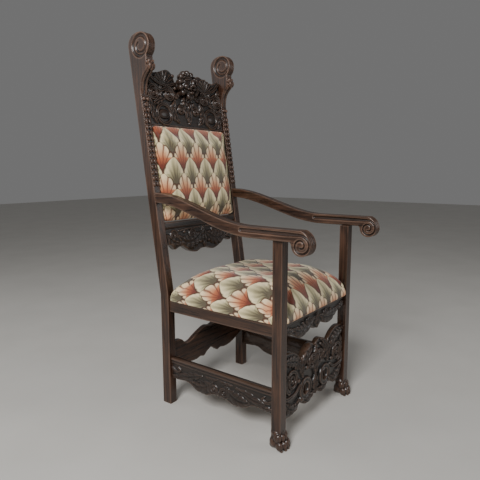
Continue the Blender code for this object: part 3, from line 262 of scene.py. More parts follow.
@dataclass(frozen=True)
class PalmetteCloth:
    """Cotton and wool tapestry cloth, woven with rows of overlapping palmettes.

    The eye sees salmon shells with cream lobes between grey-green leaves, all outlined in brown, on a
    ribbed weave. The threads lie about 0.8 mm apart, and are drawn twice as coarse, so that they show.
    """

    pitch: float = 0.0925
    row: float = 0.0628
    lobe: float = math.radians(17.0)
    outline: str = "#4a2817"
    cream: str = "#f4e2b9"
    salmon: tuple[str, ...] = ("#6f3020", "#b46642", "#e1a679", "#f6dcb0")
    leaf: tuple[str, ...] = ("#5a503b", "#8f8664", "#bfb288", "#e8d8a8")
    thread_mm: float = 1.6
    roughness: float = 0.86
    sheen: float = 0.25
    sheen_roughness: float = 0.6
    gloss: float = 0.25

    def made(self) -> bpy.types.Material:
        """The cloth, reading its place in the pattern from the piece's own UV map.

        Returns:
            The material.
        """
        known = bpy.data.materials.get("palmette_cloth")
        if known is not None:
            return known
        material = bpy.data.materials.new("palmette_cloth")
        material.use_nodes = True
        tree = material.node_tree
        shader = tree.nodes["Principled BSDF"]
        math_node = "ShaderNodeMath"
        place = node(tree, "ShaderNodeUVMap", uv_map="pattern").outputs["UV"]
        wave = node(tree, "ShaderNodeTexNoise",
                    {"Vector": place, "Scale": 22.0, "Detail": 2.0}).outputs["Color"]
        wave = node(tree, "ShaderNodeVectorMath", {0: wave, 1: (0.5, 0.5, 0.5)},
                    operation="SUBTRACT").outputs[0]
        wave = node(tree, "ShaderNodeVectorMath", {0: wave, 3: 0.008}, operation="SCALE").outputs[0]
        place = node(tree, "ShaderNodeVectorMath", {0: place, 1: wave}, operation="ADD").outputs[0]
        parts = node(tree, "ShaderNodeSeparateXYZ", {0: place})
        across = node(tree, math_node, {0: parts.outputs["X"], 1: self.pitch}, operation="DIVIDE").outputs[0]
        up = node(tree, math_node, {0: parts.outputs["Y"], 1: self.row}, operation="DIVIDE").outputs[0]
        level = node(tree, math_node, {0: up}, operation="FLOOR").outputs[0]
        rise = node(tree, math_node, {0: up}, operation="FRACT").outputs[0]
        odd = node(tree, math_node, {0: level, 1: 2.0}, operation="FLOORED_MODULO").outputs[0]
        shift = node(tree, math_node, {0: odd, 1: 0.5}, operation="MULTIPLY").outputs[0]
        # the upper half of the shell in front, and the lower half of the shell behind it
        front = node(tree, math_node, {0: across, 1: shift}, operation="SUBTRACT").outputs[0]
        front = node(tree, math_node, {0: front, 1: -0.5, 2: 0.5}, operation="WRAP").outputs[0]
        behind = node(tree, math_node, {0: front, 1: 0.5}, operation="ADD").outputs[0]
        behind = node(tree, math_node, {0: behind, 1: -0.5, 2: 0.5}, operation="WRAP").outputs[0]
        turn_in = self._polar(tree, front,
                              node(tree, math_node, {0: rise, 1: 1.0}, operation="ADD").outputs[0])
        lobe_in = self._lobe(tree, turn_in[0])
        arch = node(tree, math_node, {0: rise, 1: 1.55}, operation="POWER").outputs[0]
        arch = node(tree, math_node, {0: 1.0, 1: arch}, operation="SUBTRACT").outputs[0]
        arch = node(tree, math_node, {0: arch, 1: 0.70}, operation="POWER").outputs[0]
        arch = node(tree, math_node, {0: arch, 1: 0.505, 2: 0.0001}, operation="MULTIPLY_ADD").outputs[0]
        reach = node(tree, math_node, {0: front}, operation="ABSOLUTE").outputs[0]
        reach = node(tree, math_node, {0: reach, 1: arch}, operation="DIVIDE").outputs[0]
        notch = node(tree, math_node, {0: lobe_in, 1: 2.4}, operation="POWER").outputs[0]
        depth = node(tree, math_node, {0: odd, 1: 0.17, 2: 0.07}, operation="MULTIPLY_ADD").outputs[0]
        edge = node(tree, math_node, {0: notch, 1: depth, 2: reach}, operation="MULTIPLY_ADD").outputs[0]
        inside = node(tree, math_node, {0: edge, 1: 1.0}, operation="LESS_THAN").outputs[0]
        side = node(tree, "ShaderNodeMix", {"Factor": inside, "A": behind, "B": front}).outputs["Result"]
        lift = node(tree, math_node, {0: rise, 1: inside}, operation="ADD").outputs[0]
        kind = node(tree, math_node, {0: odd, 1: inside}, operation="COMPARE").outputs[0]
        angle, radius = self._polar(tree, side, lift)
        lobe = self._lobe(tree, angle)
        tip = node(tree, "ShaderNodeMapRange", {"Value": radius, "From Min": 0.1, "From Max": 1.75})
        shell = ramp(node(tree, "ShaderNodeValToRGB", {"Fac": tip.outputs["Result"]}),
                     (0.14, self.salmon[0]), (0.40, self.salmon[1]), (0.62, self.salmon[2]),
                     (0.90, self.salmon[3]))
        lip = node(tree, "ShaderNodeMapRange", {"Value": lobe, "From Min": 0.60, "From Max": 0.95,
                                                "To Max": 0.90}).outputs["Result"]
        halo = node(tree, "ShaderNodeMapRange", {"Value": edge, "From Min": 0.40, "From Max": 0.90,
                                                 "To Max": 0.85}).outputs["Result"]
        halo = node(tree, math_node, {0: halo, 1: inside}, operation="MULTIPLY").outputs[0]
        shell = node(tree, "ShaderNodeMix", {"Factor": halo, "A": shell, "B": linear(self.cream)},
                     data_type="RGBA").outputs["Result"]
        shell = node(tree, "ShaderNodeMix", {"Factor": lip, "A": shell, "B": linear(self.salmon[0])},
                     data_type="RGBA").outputs["Result"]
        veins = node(tree, math_node, {0: angle, 1: 26.0}, operation="MULTIPLY").outputs[0]
        veins = node(tree, math_node, {0: veins}, operation="SINE").outputs[0]
        veins = node(tree, math_node, {0: veins, 1: 0.10, 2: tip.outputs["Result"]}, operation="MULTIPLY_ADD")
        rib = node(tree, math_node, {0: side}, operation="ABSOLUTE").outputs[0]
        rib = node(tree, "ShaderNodeMapRange", {"Value": rib, "From Min": 0.0, "From Max": 0.30,
                                                "To Min": -0.22, "To Max": 0.14}).outputs["Result"]
        green = node(tree, math_node, {0: veins.outputs[0], 1: rib}, operation="ADD").outputs[0]
        green = ramp(node(tree, "ShaderNodeValToRGB", {"Fac": green}), (0.10, self.leaf[0]),
                     (0.40, self.leaf[1]), (0.64, self.leaf[2]), (0.90, self.leaf[3]))
        green = node(tree, "ShaderNodeMix", {"Factor": halo, "A": green, "B": linear(self.cream)},
                     data_type="RGBA").outputs["Result"]
        cloth = node(tree, "ShaderNodeMix", {"Factor": kind, "A": green, "B": shell}, data_type="RGBA")
        line = node(tree, math_node, {0: edge, 1: 1.0}, operation="SUBTRACT").outputs[0]
        line = node(tree, math_node, {0: line}, operation="ABSOLUTE").outputs[0]
        line = node(tree, "ShaderNodeMapRange", {"Value": line, "From Min": 0.045, "From Max": 0.14,
                                                 "To Min": 0.95, "To Max": 0.0}).outputs["Result"]
        cloth = node(tree, "ShaderNodeMix", {"Factor": line, "A": cloth.outputs["Result"],
                                             "B": linear(self.outline)}, data_type="RGBA").outputs["Result"]
        slub = node(tree, "ShaderNodeTexNoise",
                    {"Vector": place, "Scale": 420.0, "Detail": 2.0}).outputs["Fac"]
        slub = node(tree, "ShaderNodeMapRange",
                    {"Value": slub, "To Min": 0.72, "To Max": 1.25}).outputs["Result"]
        cloth = node(tree, "ShaderNodeVectorMath", {0: cloth, 3: slub}, operation="SCALE").outputs[0]
        tree.links.new(cloth, shader.inputs["Base Color"])
        weave = self._weave(tree, parts)
        bump = node(tree, "ShaderNodeBump", {"Height": weave, "Strength": 0.35, "Distance": 0.0006})
        tree.links.new(bump.outputs["Normal"], shader.inputs["Normal"])
        shader.inputs["Roughness"].default_value = self.roughness
        shader.inputs["Sheen Weight"].default_value = self.sheen
        shader.inputs["Sheen Roughness"].default_value = self.sheen_roughness
        shader.inputs["Specular IOR Level"].default_value = self.gloss
        return material

    def _polar(self, tree: bpy.types.NodeTree, side: bpy.types.NodeSocket,
               lift: bpy.types.NodeSocket) -> tuple[bpy.types.NodeSocket, bpy.types.NodeSocket]:
        """The turn from upright and the distance from a shell's root, in rows.

        Args:
            tree: the cloth's node tree.
            side: how far from the shell's middle line, in pitches.
            lift: how far above the shell's lowest row, in rows.

        Returns:
            The sockets of the turn and of the distance.
        """
        wide = node(tree, "ShaderNodeMath", {0: side, 1: self.pitch / self.row},
                    operation="MULTIPLY").outputs[0]
        tall = node(tree, "ShaderNodeMath", {0: lift, 1: 0.22}, operation="SUBTRACT").outputs[0]
        angle = node(tree, "ShaderNodeMath", {0: wide, 1: tall}, operation="ARCTAN2").outputs[0]
        spot = node(tree, "ShaderNodeCombineXYZ", {"X": wide, "Y": tall}).outputs[0]
        length = node(tree, "ShaderNodeVectorMath", {0: spot}, operation="LENGTH").outputs["Value"]
        return angle, length

    def _lobe(self, tree: bpy.types.NodeTree, angle: bpy.types.NodeSocket) -> bpy.types.NodeSocket:
        """From 0 on the middle of a lobe to 1 between two lobes.

        Args:
            tree: the cloth's node tree.
            angle: the turn from upright.

        Returns:
            The socket of the share.
        """
        turn = node(tree, "ShaderNodeMath", {0: angle, 1: self.lobe}, operation="DIVIDE").outputs[0]
        turn = node(tree, "ShaderNodeMath", {0: turn, 1: -0.5, 2: 0.5}, operation="WRAP").outputs[0]
        turn = node(tree, "ShaderNodeMath", {0: turn}, operation="ABSOLUTE").outputs[0]
        return node(tree, "ShaderNodeMath", {0: turn, 1: 2.0}, operation="MULTIPLY").outputs[0]

    def _weave(self, tree: bpy.types.NodeTree, parts: bpy.types.Node) -> bpy.types.NodeSocket:
        """The height of the threads, over and under.

        Args:
            tree: the cloth's node tree.
            parts: the place on the cloth, in its two ways.

        Returns:
            The socket of the height.
        """
        pace = 2 * math.pi * 1000 / self.thread_mm
        ends = []
        for axis in ("X", "Y"):
            turn = node(tree, "ShaderNodeMath", {0: parts.outputs[axis], 1: pace},
                        operation="MULTIPLY").outputs[0]
            ends.append(node(tree, "ShaderNodeMath", {0: turn}, operation="SINE").outputs[0])
        return node(tree, "ShaderNodeMath", {0: ends[0], 1: ends[1]}, operation="MULTIPLY").outputs[0]


# Meshes


def modified(mesh: bpy.types.Mesh, *modifiers: tuple[str, dict]) -> bpy.types.Mesh:
    """Gives the mesh after these modifiers.

    Args:
        mesh: the mesh to start from.
        modifiers: types with their settings.

    Returns:
        A new mesh.
    """
    work = bpy.data.objects.new("work", mesh)
    bpy.context.collection.objects.link(work)
    for kind, values in modifiers:
        modifier = work.modifiers.new(kind, kind)
        for key, value in values.items():
            setattr(modifier, key, value)
    bpy.context.view_layer.update()
    result = bpy.data.meshes.new_from_object(work.evaluated_get(bpy.context.evaluated_depsgraph_get()))
    bpy.data.objects.remove(work, do_unlink=True)
    return result


def drawn(build: Callable[[bmesh.types.BMesh], None]) -> bpy.types.Mesh:
    """A mesh of what build adds to an empty bmesh, with its faces turned out.

    Args:
        build: adds points and faces.

    Returns:
        The mesh.
    """
    bm = bmesh.new()
    build(bm)
    bmesh.ops.recalc_face_normals(bm, faces=bm.faces)
    mesh = bpy.data.meshes.new("piece")
    bm.to_mesh(mesh)
    bm.free()
    return mesh


def gathered(meshes: Sequence[bpy.types.Mesh]) -> bpy.types.Mesh:
    """Several meshes in one, each still a shell of its own.

    Args:
        meshes: the meshes.

    Returns:
        One mesh.
    """
    bm = bmesh.new()
    for mesh in meshes:
        bm.from_mesh(mesh)
    result = bpy.data.meshes.new("piece")
    bm.to_mesh(result)
    bm.free()
    return result


def fused(meshes: Sequence[bpy.types.Mesh], voxel: float, passes: int = 2) -> bpy.types.Mesh:
    """Grows overlapping shells into one skin and softens it, as age does.

    Args:
        meshes: closed shells.
        voxel: the fineness in metres.
        passes: how many times the skin is smoothed.

    Returns:
        One closed mesh.
    """
    skin = modified(gathered(meshes), ("REMESH", {"mode": "VOXEL", "voxel_size": voxel}))
    spots, _ = read(skin)
    write(skin, eased(skin, spots, passes, 0.5))
    return skin


def thinned(mesh: bpy.types.Mesh, triangles: int) -> bpy.types.Mesh:
    """The mesh with about this many triangles at most.

    Args:
        mesh: the mesh.
        triangles: the most that it may have.

    Returns:
        The same mesh, or a lighter one.
    """
    mesh.calc_loop_triangles()
    count = len(mesh.loop_triangles)
    if count <= triangles:
        return mesh
    return modified(mesh, ("DECIMATE", {"ratio": triangles / count}))


def read(mesh: bpy.types.Mesh) -> tuple[np.ndarray, np.ndarray]:
    """The mesh's points and their normals.

    Args:
        mesh: the mesh.

    Returns:
        Two arrays of rows of three.
    """
    spots = np.empty(len(mesh.vertices) * 3)
    normals = np.empty(len(mesh.vertices) * 3)
    mesh.vertices.foreach_get("co", spots)
    mesh.vertices.foreach_get("normal", normals)
    return spots.reshape(-1, 3), normals.reshape(-1, 3)


def write(mesh: bpy.types.Mesh, spots: np.ndarray) -> None:
    """Moves the mesh's points."""
    mesh.vertices.foreach_set("co", spots.ravel())
    mesh.update()


def eased(mesh: bpy.types.Mesh, values: np.ndarray, passes: int, share: float) -> np.ndarray:
    """Evens out values on the mesh's points with their neighbours'.

    Args:
        mesh: the mesh whose edges join the points.
        values: one row for each point.
        passes: how many times.
        share: how far each value moves to its neighbours' mean.

    Returns:
        The evened values.
    """
    ends = np.empty(len(mesh.edges) * 2, dtype=np.int64)
    mesh.edges.foreach_get("vertices", ends)
    ends = ends.reshape(-1, 2)
    count = len(values)
    source = np.concatenate([ends[:, 0], ends[:, 1]])
    target = np.concatenate([ends[:, 1], ends[:, 0]])
    degree = np.maximum(np.bincount(target, minlength=count), 1)
    result = values.copy()
    for _ in range(passes):
        for column in range(result.shape[1]):
            mean = np.bincount(target, weights=result[source, column], minlength=count) / degree
            result[:, column] += share * (mean - result[:, column])
    return result


def wear_and_light_marks(mesh: bpy.types.Mesh, reach: float = 0.0009, passes: int = 14) -> bpy.types.Mesh:
    """Marks on the mesh its proud places, polished by hands and lit as a painted highlight, and its hollows,
    dark with old waxing and painted shade.

    Args:
        mesh: the finished mesh.
        reach: how far a place stands proud of its surroundings to be fully marked as polished and
            highlighted.
        passes: how wide those surroundings are.

    Returns:
        The same mesh, with one attribute for its polished and highlighted places and one for its hollows.
    """
    spots, normals = read(mesh)
    proud = ((spots - eased(mesh, spots, passes, 0.5)) * normals).sum(axis=1)
    proud = eased(mesh, proud[:, None], 2, 0.5)[:, 0]
    # proud places get the mark for wear and painted highlight, hollows the mark for waxing and painted shade
    for name, values in (("rubbed_and_highlight", proud / reach), ("hollow", -proud / reach)):
        layer = mesh.attributes.new(name, "FLOAT", "POINT")
        layer.data.foreach_set("value", np.clip(values, 0, 1).astype(np.float32))
    return mesh


def slab(outline: Places, thickness: float) -> bpy.types.Mesh:
    """A closed board with this outline of (y, z) points, its thickness centred on X.

    Args:
        outline: the points, in order.
        thickness: its size along X.

    Returns:
        The mesh.
    """
    def build(bm: bmesh.types.BMesh) -> None:
        """Adds its points and faces.

        Args:
            bm: what they are added to.
        """
        face = bm.faces.new([bm.verts.new((-thickness / 2, y, z)) for y, z in outline])
        grown = bmesh.ops.extrude_face_region(bm, geom=[face])
        moved = [item for item in grown["geom"] if isinstance(item, bmesh.types.BMVert)]
        bmesh.ops.translate(bm, vec=(thickness, 0, 0), verts=moved)
        bmesh.ops.triangulate(bm, faces=bm.faces)
    return drawn(build)


def block(low: Sequence[float], high: Sequence[float]) -> bpy.types.Mesh:
    """A box between two corners.

    Args:
        low: its lowest corner.
        high: its highest corner.

    Returns:
        The mesh.
    """
    def build(bm: bmesh.types.BMesh) -> None:
        """Adds its points and faces.

        Args:
            bm: what they are added to.
        """
        bmesh.ops.create_cube(bm, size=1.0)
        bmesh.ops.scale(bm, vec=Vector(high) - Vector(low), verts=bm.verts)
        bmesh.ops.translate(bm, vec=(Vector(high) + Vector(low)) / 2, verts=bm.verts)
    return drawn(build)


def lump(centre: Sequence[float], radii: Sequence[float], turn: float = 0.0) -> bpy.types.Mesh:
    """An oval lump, tipped about X by a turn in degrees.

    Args:
        centre: its middle.
        radii: half its size each way.
        turn: the degrees.

    Returns:
        The mesh.
    """
    def build(bm: bmesh.types.BMesh) -> None:
        """Adds its points and faces.

        Args:
            bm: what they are added to.
        """
        bmesh.ops.create_icosphere(bm, subdivisions=4, radius=1.0)
        bmesh.ops.scale(bm, vec=radii, verts=bm.verts)
        tip = Matrix.Rotation(math.radians(turn), 3, "X")
        bmesh.ops.rotate(bm, cent=(0, 0, 0), matrix=tip, verts=bm.verts)
        bmesh.ops.translate(bm, vec=centre, verts=bm.verts)
    return drawn(build)


def rope(path: Sequence[Sequence[float]], radii: Sequence[float], sides: int = 12) -> bpy.types.Mesh:
    """A round bar along a path in space, its radius given at each point.

    Args:
        path: the points of its middle line.
        radii: the radius at each.
        sides: how many sides its section has.

    Returns:
        The mesh.
    """
    points = np.array(path, float)
    along = np.gradient(points, axis=0)
    along /= np.linalg.norm(along, axis=1)[:, None]

    def build(bm: bmesh.types.BMesh) -> None:
        """Adds its points and faces.

        Args:
            bm: what they are added to.
        """
        rings = []
        for point, way, radius in zip(points, along, radii):
            first = np.cross(way, (1.0, 0.13, 0.07))
            first /= np.linalg.norm(first)
            second = np.cross(way, first)
            ring = []
            for turn in np.linspace(0, 2 * math.pi, sides, endpoint=False):
                ring.append(bm.verts.new(point + radius * (math.cos(turn) * first + math.sin(turn) * second)))
            rings.append(ring)
        for low, high in zip(rings, rings[1:]):
            for i in range(sides):
                bm.faces.new([low[i], low[(i + 1) % sides], high[(i + 1) % sides], high[i]])
        bm.faces.new(rings[0])
        bm.faces.new(list(reversed(rings[-1])))
    return drawn(build)


def set_down(name: str, mesh: bpy.types.Mesh, move: Matrix, material: bpy.types.Material,
             nodes: Sequence[str] = ()) -> bpy.types.Object:
    """Puts a finished mesh in its place on the chair and reports it.

    Args:
        name: the piece's name.
        mesh: its mesh.
        move: the move from where it was drawn to the chair.
        material: its finish.
        nodes: the solids that it stands for.

    Returns:
        The piece.
    """
    mesh.transform(move)
    if move.determinant() < 0:
        mesh.flip_normals()
    mesh.name = name
    mesh.materials.clear()
    mesh.materials.append(material)
    mesh.shade_smooth()
    piece = bpy.data.objects.new(name, mesh)
    bpy.context.collection.objects.link(piece)
    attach(piece, "root")
    if nodes:
        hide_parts(*nodes)
    mesh.calc_loop_triangles()
    LOG.info("%s: %d triangles", name, len(mesh.loop_triangles))
    return piece


# The carver's motifs


def curve(points: Places, steps: int = 8) -> np.ndarray:
    """A smooth open curve through the points, with this many steps from one to the next.

    Args:
        points: the points.
        steps: the steps between two of them.

    Returns:
        The curve's points.
    """
    middle = np.array(points, float)
    padded = np.vstack([2 * middle[0] - middle[1], middle, 2 * middle[-1] - middle[-2]])
    found = []
    for a, b, c, d in zip(padded, padded[1:], padded[2:], padded[3:]):
        for t in np.arange(steps) / steps:
            cubic = (3 * b - a - 3 * c + d) * t ** 3
            square = (2 * a - 5 * b + 4 * c - d) * t ** 2
            found.append((2 * b + (c - a) * t + square + cubic) / 2)
    found.append(middle[-1])
    return np.array(found)


def spiral(centre: Sequence[float], radii: Sequence[float], degrees: Sequence[float],
           steps: int) -> np.ndarray:
    """Points of a spiral about the centre, between two radii and two angles.

    Args:
        centre: its middle.
        radii: the first and last radius.
        degrees: the first and last angle.
        steps: how many points.

    Returns:
        The points.
    """
    radius = np.linspace(radii[0], radii[1], steps)
    angle = np.radians(np.linspace(degrees[0], degrees[1], steps))
    return np.column_stack([centre[0] + radius * np.cos(angle), centre[1] + radius * np.sin(angle)])


def to_path(x: np.ndarray, z: np.ndarray, path: np.ndarray) -> tuple[np.ndarray, np.ndarray]:
    """How far each place is from the path, and how far along it the nearest point lies (0 to 1).

    Args:
        x: how far across each place is.
        z: how high each place is.
        path: the path's points.

    Returns:
        The distances and the shares.
    """
    steps = np.diff(path, axis=0)
    lengths = np.linalg.norm(steps, axis=1)
    starts = np.concatenate(([0.0], np.cumsum(lengths)))
    nearest = np.full(x.shape, np.inf)
    along = np.zeros(x.shape)
    for (px, pz), (sx, sz), length, start in zip(path, steps, lengths, starts):
        run = np.clip(((x - px) * sx + (z - pz) * sz) / length, 0, length)
        distance = np.hypot(x - px - run * sx / length, z - pz - run * sz / length)
        closer = distance < nearest
        nearest[closer] = distance[closer]
        along[closer] = ((start + run) / starts[-1])[closer]
    return nearest, along


@dataclass(frozen=True)
class Strap:
    """A band of scrollwork along a path: a hollow between two raised ribs, tapering to its end."""

    path: np.ndarray
    half_widths: tuple[float, float]
    height: float

    def rise(self, x: np.ndarray, z: np.ndarray) -> np.ndarray:
        """The height of the band above the ground at each place.

        Args:
            x: how far across each place is.
            z: how high each place is.

        Returns:
            The heights in metres.
        """
        distance, along = to_path(x, z, self.path)
        share = distance / (self.half_widths[0] + (self.half_widths[1] - self.half_widths[0]) * along)
        body = np.sqrt(np.clip(1 - share ** 4, 0, 1))
        return self.height * body * (1 - 0.42 * np.exp(-(share / 0.42) ** 2))


@dataclass(frozen=True)
class Leaf:
    """An acanthus leaf: a grooved spine, with lobes and veins that slant forward on both sides."""

    path: np.ndarray
    half_width: float
    lobes: int
    height: float

    def rise(self, x: np.ndarray, z: np.ndarray) -> np.ndarray:
        """The height of the leaf above the ground at each place.

        Args:
            x: how far across each place is.
            z: how high each place is.

        Returns:
            The heights in metres.
        """
        distance, along = to_path(x, z, self.path)
        swell = np.clip(np.sin(math.pi * np.clip(along, 0.03, 0.97)), 0, 1) ** 0.55
        wide = distance / (self.half_width * swell)
        lobe = np.abs(np.sin(math.pi * (self.lobes * along - 0.55 * np.clip(wide, 0, 1.2))))
        share = wide / (0.70 + 0.30 * lobe ** 0.6)
        dome = np.sqrt(np.clip(1 - share ** 2.6, 0, 1))
        spine = 1 - 0.42 * np.exp(-(distance / (0.13 * self.half_width)) ** 2)
        flow = 1 - 0.16 * np.cos(5 * math.pi * np.clip(share, 0, 1)) ** 2
        return self.height * dome * spine * flow * (0.74 + 0.26 * lobe ** 0.6)


@dataclass(frozen=True)
class Boss:
    """A domed boss or bead, round or oval."""

    centre: tuple[float, float]
    radii: tuple[float, float]
    height: float

    def rise(self, x: np.ndarray, z: np.ndarray) -> np.ndarray:
        """The height of the boss above the ground at each place."""
        share = ((x - self.centre[0]) / self.radii[0]) ** 2 + ((z - self.centre[1]) / self.radii[1]) ** 2
        return self.height * np.sqrt(np.clip(1 - share, 0, 1))


@dataclass(frozen=True)
class Shell:
    """A shell of hollow flutes that spread from a centre."""

    centre: tuple[float, float]
    radius: float
    degrees: tuple[float, float]
    flutes: int
    height: float

    def rise(self, x: np.ndarray, z: np.ndarray) -> np.ndarray:
        """The height of the flutes above the ground at each place.

        Args:
            x: how far across each place is.
            z: how high each place is.

        Returns:
            The heights in metres.
        """
        dx = x - self.centre[0]
        dz = z - self.centre[1]
        radius = np.hypot(dx, dz) / self.radius
        turn = (np.degrees(np.arctan2(dz, dx)) - self.degrees[0]) / (self.degrees[1] - self.degrees[0])
        flute = 1 - 0.55 * np.abs(np.sin(math.pi * self.flutes * turn))
        edge = np.clip((1 - radius) / 0.08, 0, 1) * np.clip(turn / 0.02, 0, 1)
        edge *= np.clip((1 - turn) / 0.02, 0, 1)
        return self.height * flute * edge * np.clip(0.35 + radius, 0, 1)


@dataclass(frozen=True)
class Moulding:
    """A straight rounded moulding along the board, between two heights."""

    low: float
    high: float
    height: float

    def rise(self, x: np.ndarray, z: np.ndarray) -> np.ndarray:
        """The height of the moulding above the ground at each place."""
        share = (z - (self.low + self.high) / 2) / ((self.high - self.low) / 2)
        return self.height * np.sqrt(np.clip(1 - share ** 4, 0, 1)) + 0 * x


Motif = Strap | Leaf | Boss | Shell | Moulding


@dataclass(frozen=True)
class Board:
    """A carved board, symmetric about X = 0, laid out in shares of its own size.

    A share of (1, 1) is the board's top right corner, (0, 0) the middle of its bottom edge.
    Its front faces -Y, and the ground of its carving is at Y = 0.
    """

    half_width: float
    bottom: float
    height: float
    relief: float
    thickness: float
    cell: float = 0.0013
    bevel: float = 0.0022

    def at(self, points: Sequence) -> np.ndarray:
        """Places given as shares, in metres."""
        return np.array(points, float) * (self.half_width, self.height) + (0, self.bottom)

    def outline(self, upper: Places, lower: Places) -> np.ndarray:
        """A closed outline from its right half, given from the middle to the end, above and below."""
        right = np.vstack([curve(self.at(upper)), curve(self.at(lower))[::-1]])
        return np.vstack([right, right[::-1] * (-1, 1)])

    def strap(self, points: Places, widths: tuple[float, float], height: float = 1.0) -> Strap:
        """A band through the points, with half widths as shares of the board's height."""
        return Strap(curve(self.at(points)), (widths[0] * self.height, widths[1] * self.height),
                     height * self.relief)

    def curl(self, centre: tuple[float, float], radii: tuple[float, float], degrees: tuple[float, float],
             widths: tuple[float, float], height: float = 1.0) -> Strap:
        """A spiral band, with its sizes as shares of the board's height."""
        path = spiral(self.at(centre), (radii[0] * self.height, radii[1] * self.height), degrees, 44)
        return Strap(path, (widths[0] * self.height, widths[1] * self.height), height * self.relief)

    def leaf(self, points: Places, width: float, lobes: int, height: float = 1.0) -> Leaf:
        """A leaf through the points, its half width a share of the board's height."""
        return Leaf(curve(self.at(points)), width * self.height, lobes, height * self.relief)

    def boss(self, centre: tuple[float, float], radii: tuple[float, float], height: float = 1.0) -> Boss:
        """A boss, its radii shares of the board's height."""
        return Boss(tuple(self.at(centre)), (radii[0] * self.height, radii[1] * self.height),
                    height * self.relief)

    def shell(self, centre: tuple[float, float], radius: float, degrees: tuple[float, float], flutes: int,
              height: float = 1.0) -> Shell:
        """A shell, its radius a share of the board's height."""
        return Shell(tuple(self.at(centre)), radius * self.height, degrees, flutes, height * self.relief)

    def moulding(self, low: float, high: float, height: float = 1.0) -> Moulding:
        """A moulding along the board between two shares of its height."""
        return Moulding(self.bottom + low * self.height, self.bottom + high * self.height,
                        height * self.relief)

    def oval(self, centre: tuple[float, float], radii: tuple[float, float], steps: int = 40) -> np.ndarray:
        """The outline of an oval opening, its radii shares of the board's height.

        Args:
            centre: its middle, as shares of the board.
            radii: half its size each way.
            steps: how many points.

        Returns:
            The outline's points.
        """
        middle = self.at(centre)
        angle = np.linspace(0, 2 * math.pi, steps, endpoint=False)
        reach = np.array(radii) * self.height
        return np.column_stack([middle[0] + reach[0] * np.cos(angle), middle[1] + reach[1] * np.sin(angle)])

    def carved(self, loops: Sequence[np.ndarray], motifs: Sequence[Motif]) -> bpy.types.Mesh:
        """The board as a closed mesh: its carved front, its edges and a flat back.

        Args:
            loops: the outline and the openings.
            motifs: what is carved, each with its rise.

        Returns:
            The mesh, drawn upright with its ground at Y = 0.
        """
        everything = np.vstack(loops)
        low, high = everything.min(axis=0), everything.max(axis=0)
        columns = 2 * math.ceil((high[0] - low[0]) / self.cell / 2)
        rows = math.ceil((high[1] - low[1]) / self.cell)
        x, z = np.meshgrid(np.linspace(low[0], high[0], columns + 1), np.linspace(low[1], high[1], rows + 1),
                           indexing="ij")
        inside, distance, near_x, near_z = self._to_loops(x, z, loops)
        inside &= distance > self.cell * 0.3
        kept = self._cells(inside)
        x = np.where(inside, x, near_x)
        z = np.where(inside, z, near_z)
        height = np.zeros(x.shape)
        for motif in motifs:
            height = np.maximum(height, motif.rise(np.abs(x), z))
        edge = np.clip(1 - np.where(inside, distance, 0) / self.bevel, 0, 1)
        height -= self.bevel * (1 - np.sqrt(1 - edge ** 2))
        used = np.zeros(x.shape, bool)
        for i in (0, 1):
            for j in (0, 1):
                used[i:i + kept.shape[0], j:j + kept.shape[1]] |= kept
        number = np.cumsum(used).reshape(x.shape) - 1
        spots = np.column_stack([x[used], -height[used], z[used]])
        i, j = np.nonzero(kept)
        cells = np.column_stack([number[i, j], number[i + 1, j], number[i + 1, j + 1], number[i, j + 1]])
        front = bpy.data.meshes.new("front")
        front.from_pydata(spots.tolist(), [], cells.tolist())
        bm = bmesh.new()
        bm.from_mesh(front)
        rim = [item for item in bm.edges if item.is_boundary]
        grown = bmesh.ops.extrude_edge_only(bm, edges=rim)
        for vert in (item for item in grown["geom"] if isinstance(item, bmesh.types.BMVert)):
            vert.co.y = self.thickness
        rear = [item for item in bm.edges if item.is_boundary]
        bmesh.ops.triangle_fill(bm, use_beauty=True, edges=rear)
        bmesh.ops.recalc_face_normals(bm, faces=bm.faces)
        mesh = bpy.data.meshes.new("board")
        bm.to_mesh(mesh)
        bm.free()
        return mesh

    @staticmethod
    def _to_loops(x: np.ndarray, z: np.ndarray, loops: Sequence[np.ndarray]) -> tuple[np.ndarray, ...]:
        """For each place: whether the loops enclose it, and the nearest point on them.

        Args:
            x: how far across each place is.
            z: how high each place is.
            loops: closed outlines.

        Returns:
            Whether it is inside, the distance, and the nearest point's x and z.
        """
        inside = np.zeros(x.shape, bool)
        nearest = np.full(x.shape, np.inf)
        near_x = np.zeros(x.shape)
        near_z = np.zeros(x.shape)
        for loop in loops:
            for (ax, az), (bx, bz) in zip(loop, np.roll(loop, -1, axis=0)):
                length = math.hypot(bx - ax, bz - az)
                if length < 1e-9:
                    continue
                run = np.clip(((x - ax) * (bx - ax) + (z - az) * (bz - az)) / length ** 2, 0, 1)
                on_x = ax + run * (bx - ax)
                on_z = az + run * (bz - az)
                distance = np.hypot(x - on_x, z - on_z)
                closer = distance < nearest
                nearest[closer] = distance[closer]
                near_x[closer] = on_x[closer]
                near_z[closer] = on_z[closer]
                if az != bz:
                    inside ^= ((az > z) != (bz > z)) & (x < ax + (z - az) * (bx - ax) / (bz - az))
        return inside, nearest, near_x, near_z

    @staticmethod
    def _cells(inside: np.ndarray) -> np.ndarray:
        """The cells of a grid that have a corner inside, with no two that meet only at a corner.

        Args:
            inside: whether each corner is inside.

        Returns:
            Whether each cell is kept.
        """
        kept = inside[:-1, :-1] | inside[1:, :-1] | inside[:-1, 1:] | inside[1:, 1:]
        while True:
            a, b, c, d = kept[:-1, :-1], kept[1:, :-1], kept[:-1, 1:], kept[1:, 1:]
            pinched = (a & d & ~b & ~c) | (b & c & ~a & ~d)
            if not pinched.any():
                return kept
            for i, j in zip(*np.nonzero(pinched)):
                kept[i:i + 2, j:j + 2] = True


# Sub-assemblies


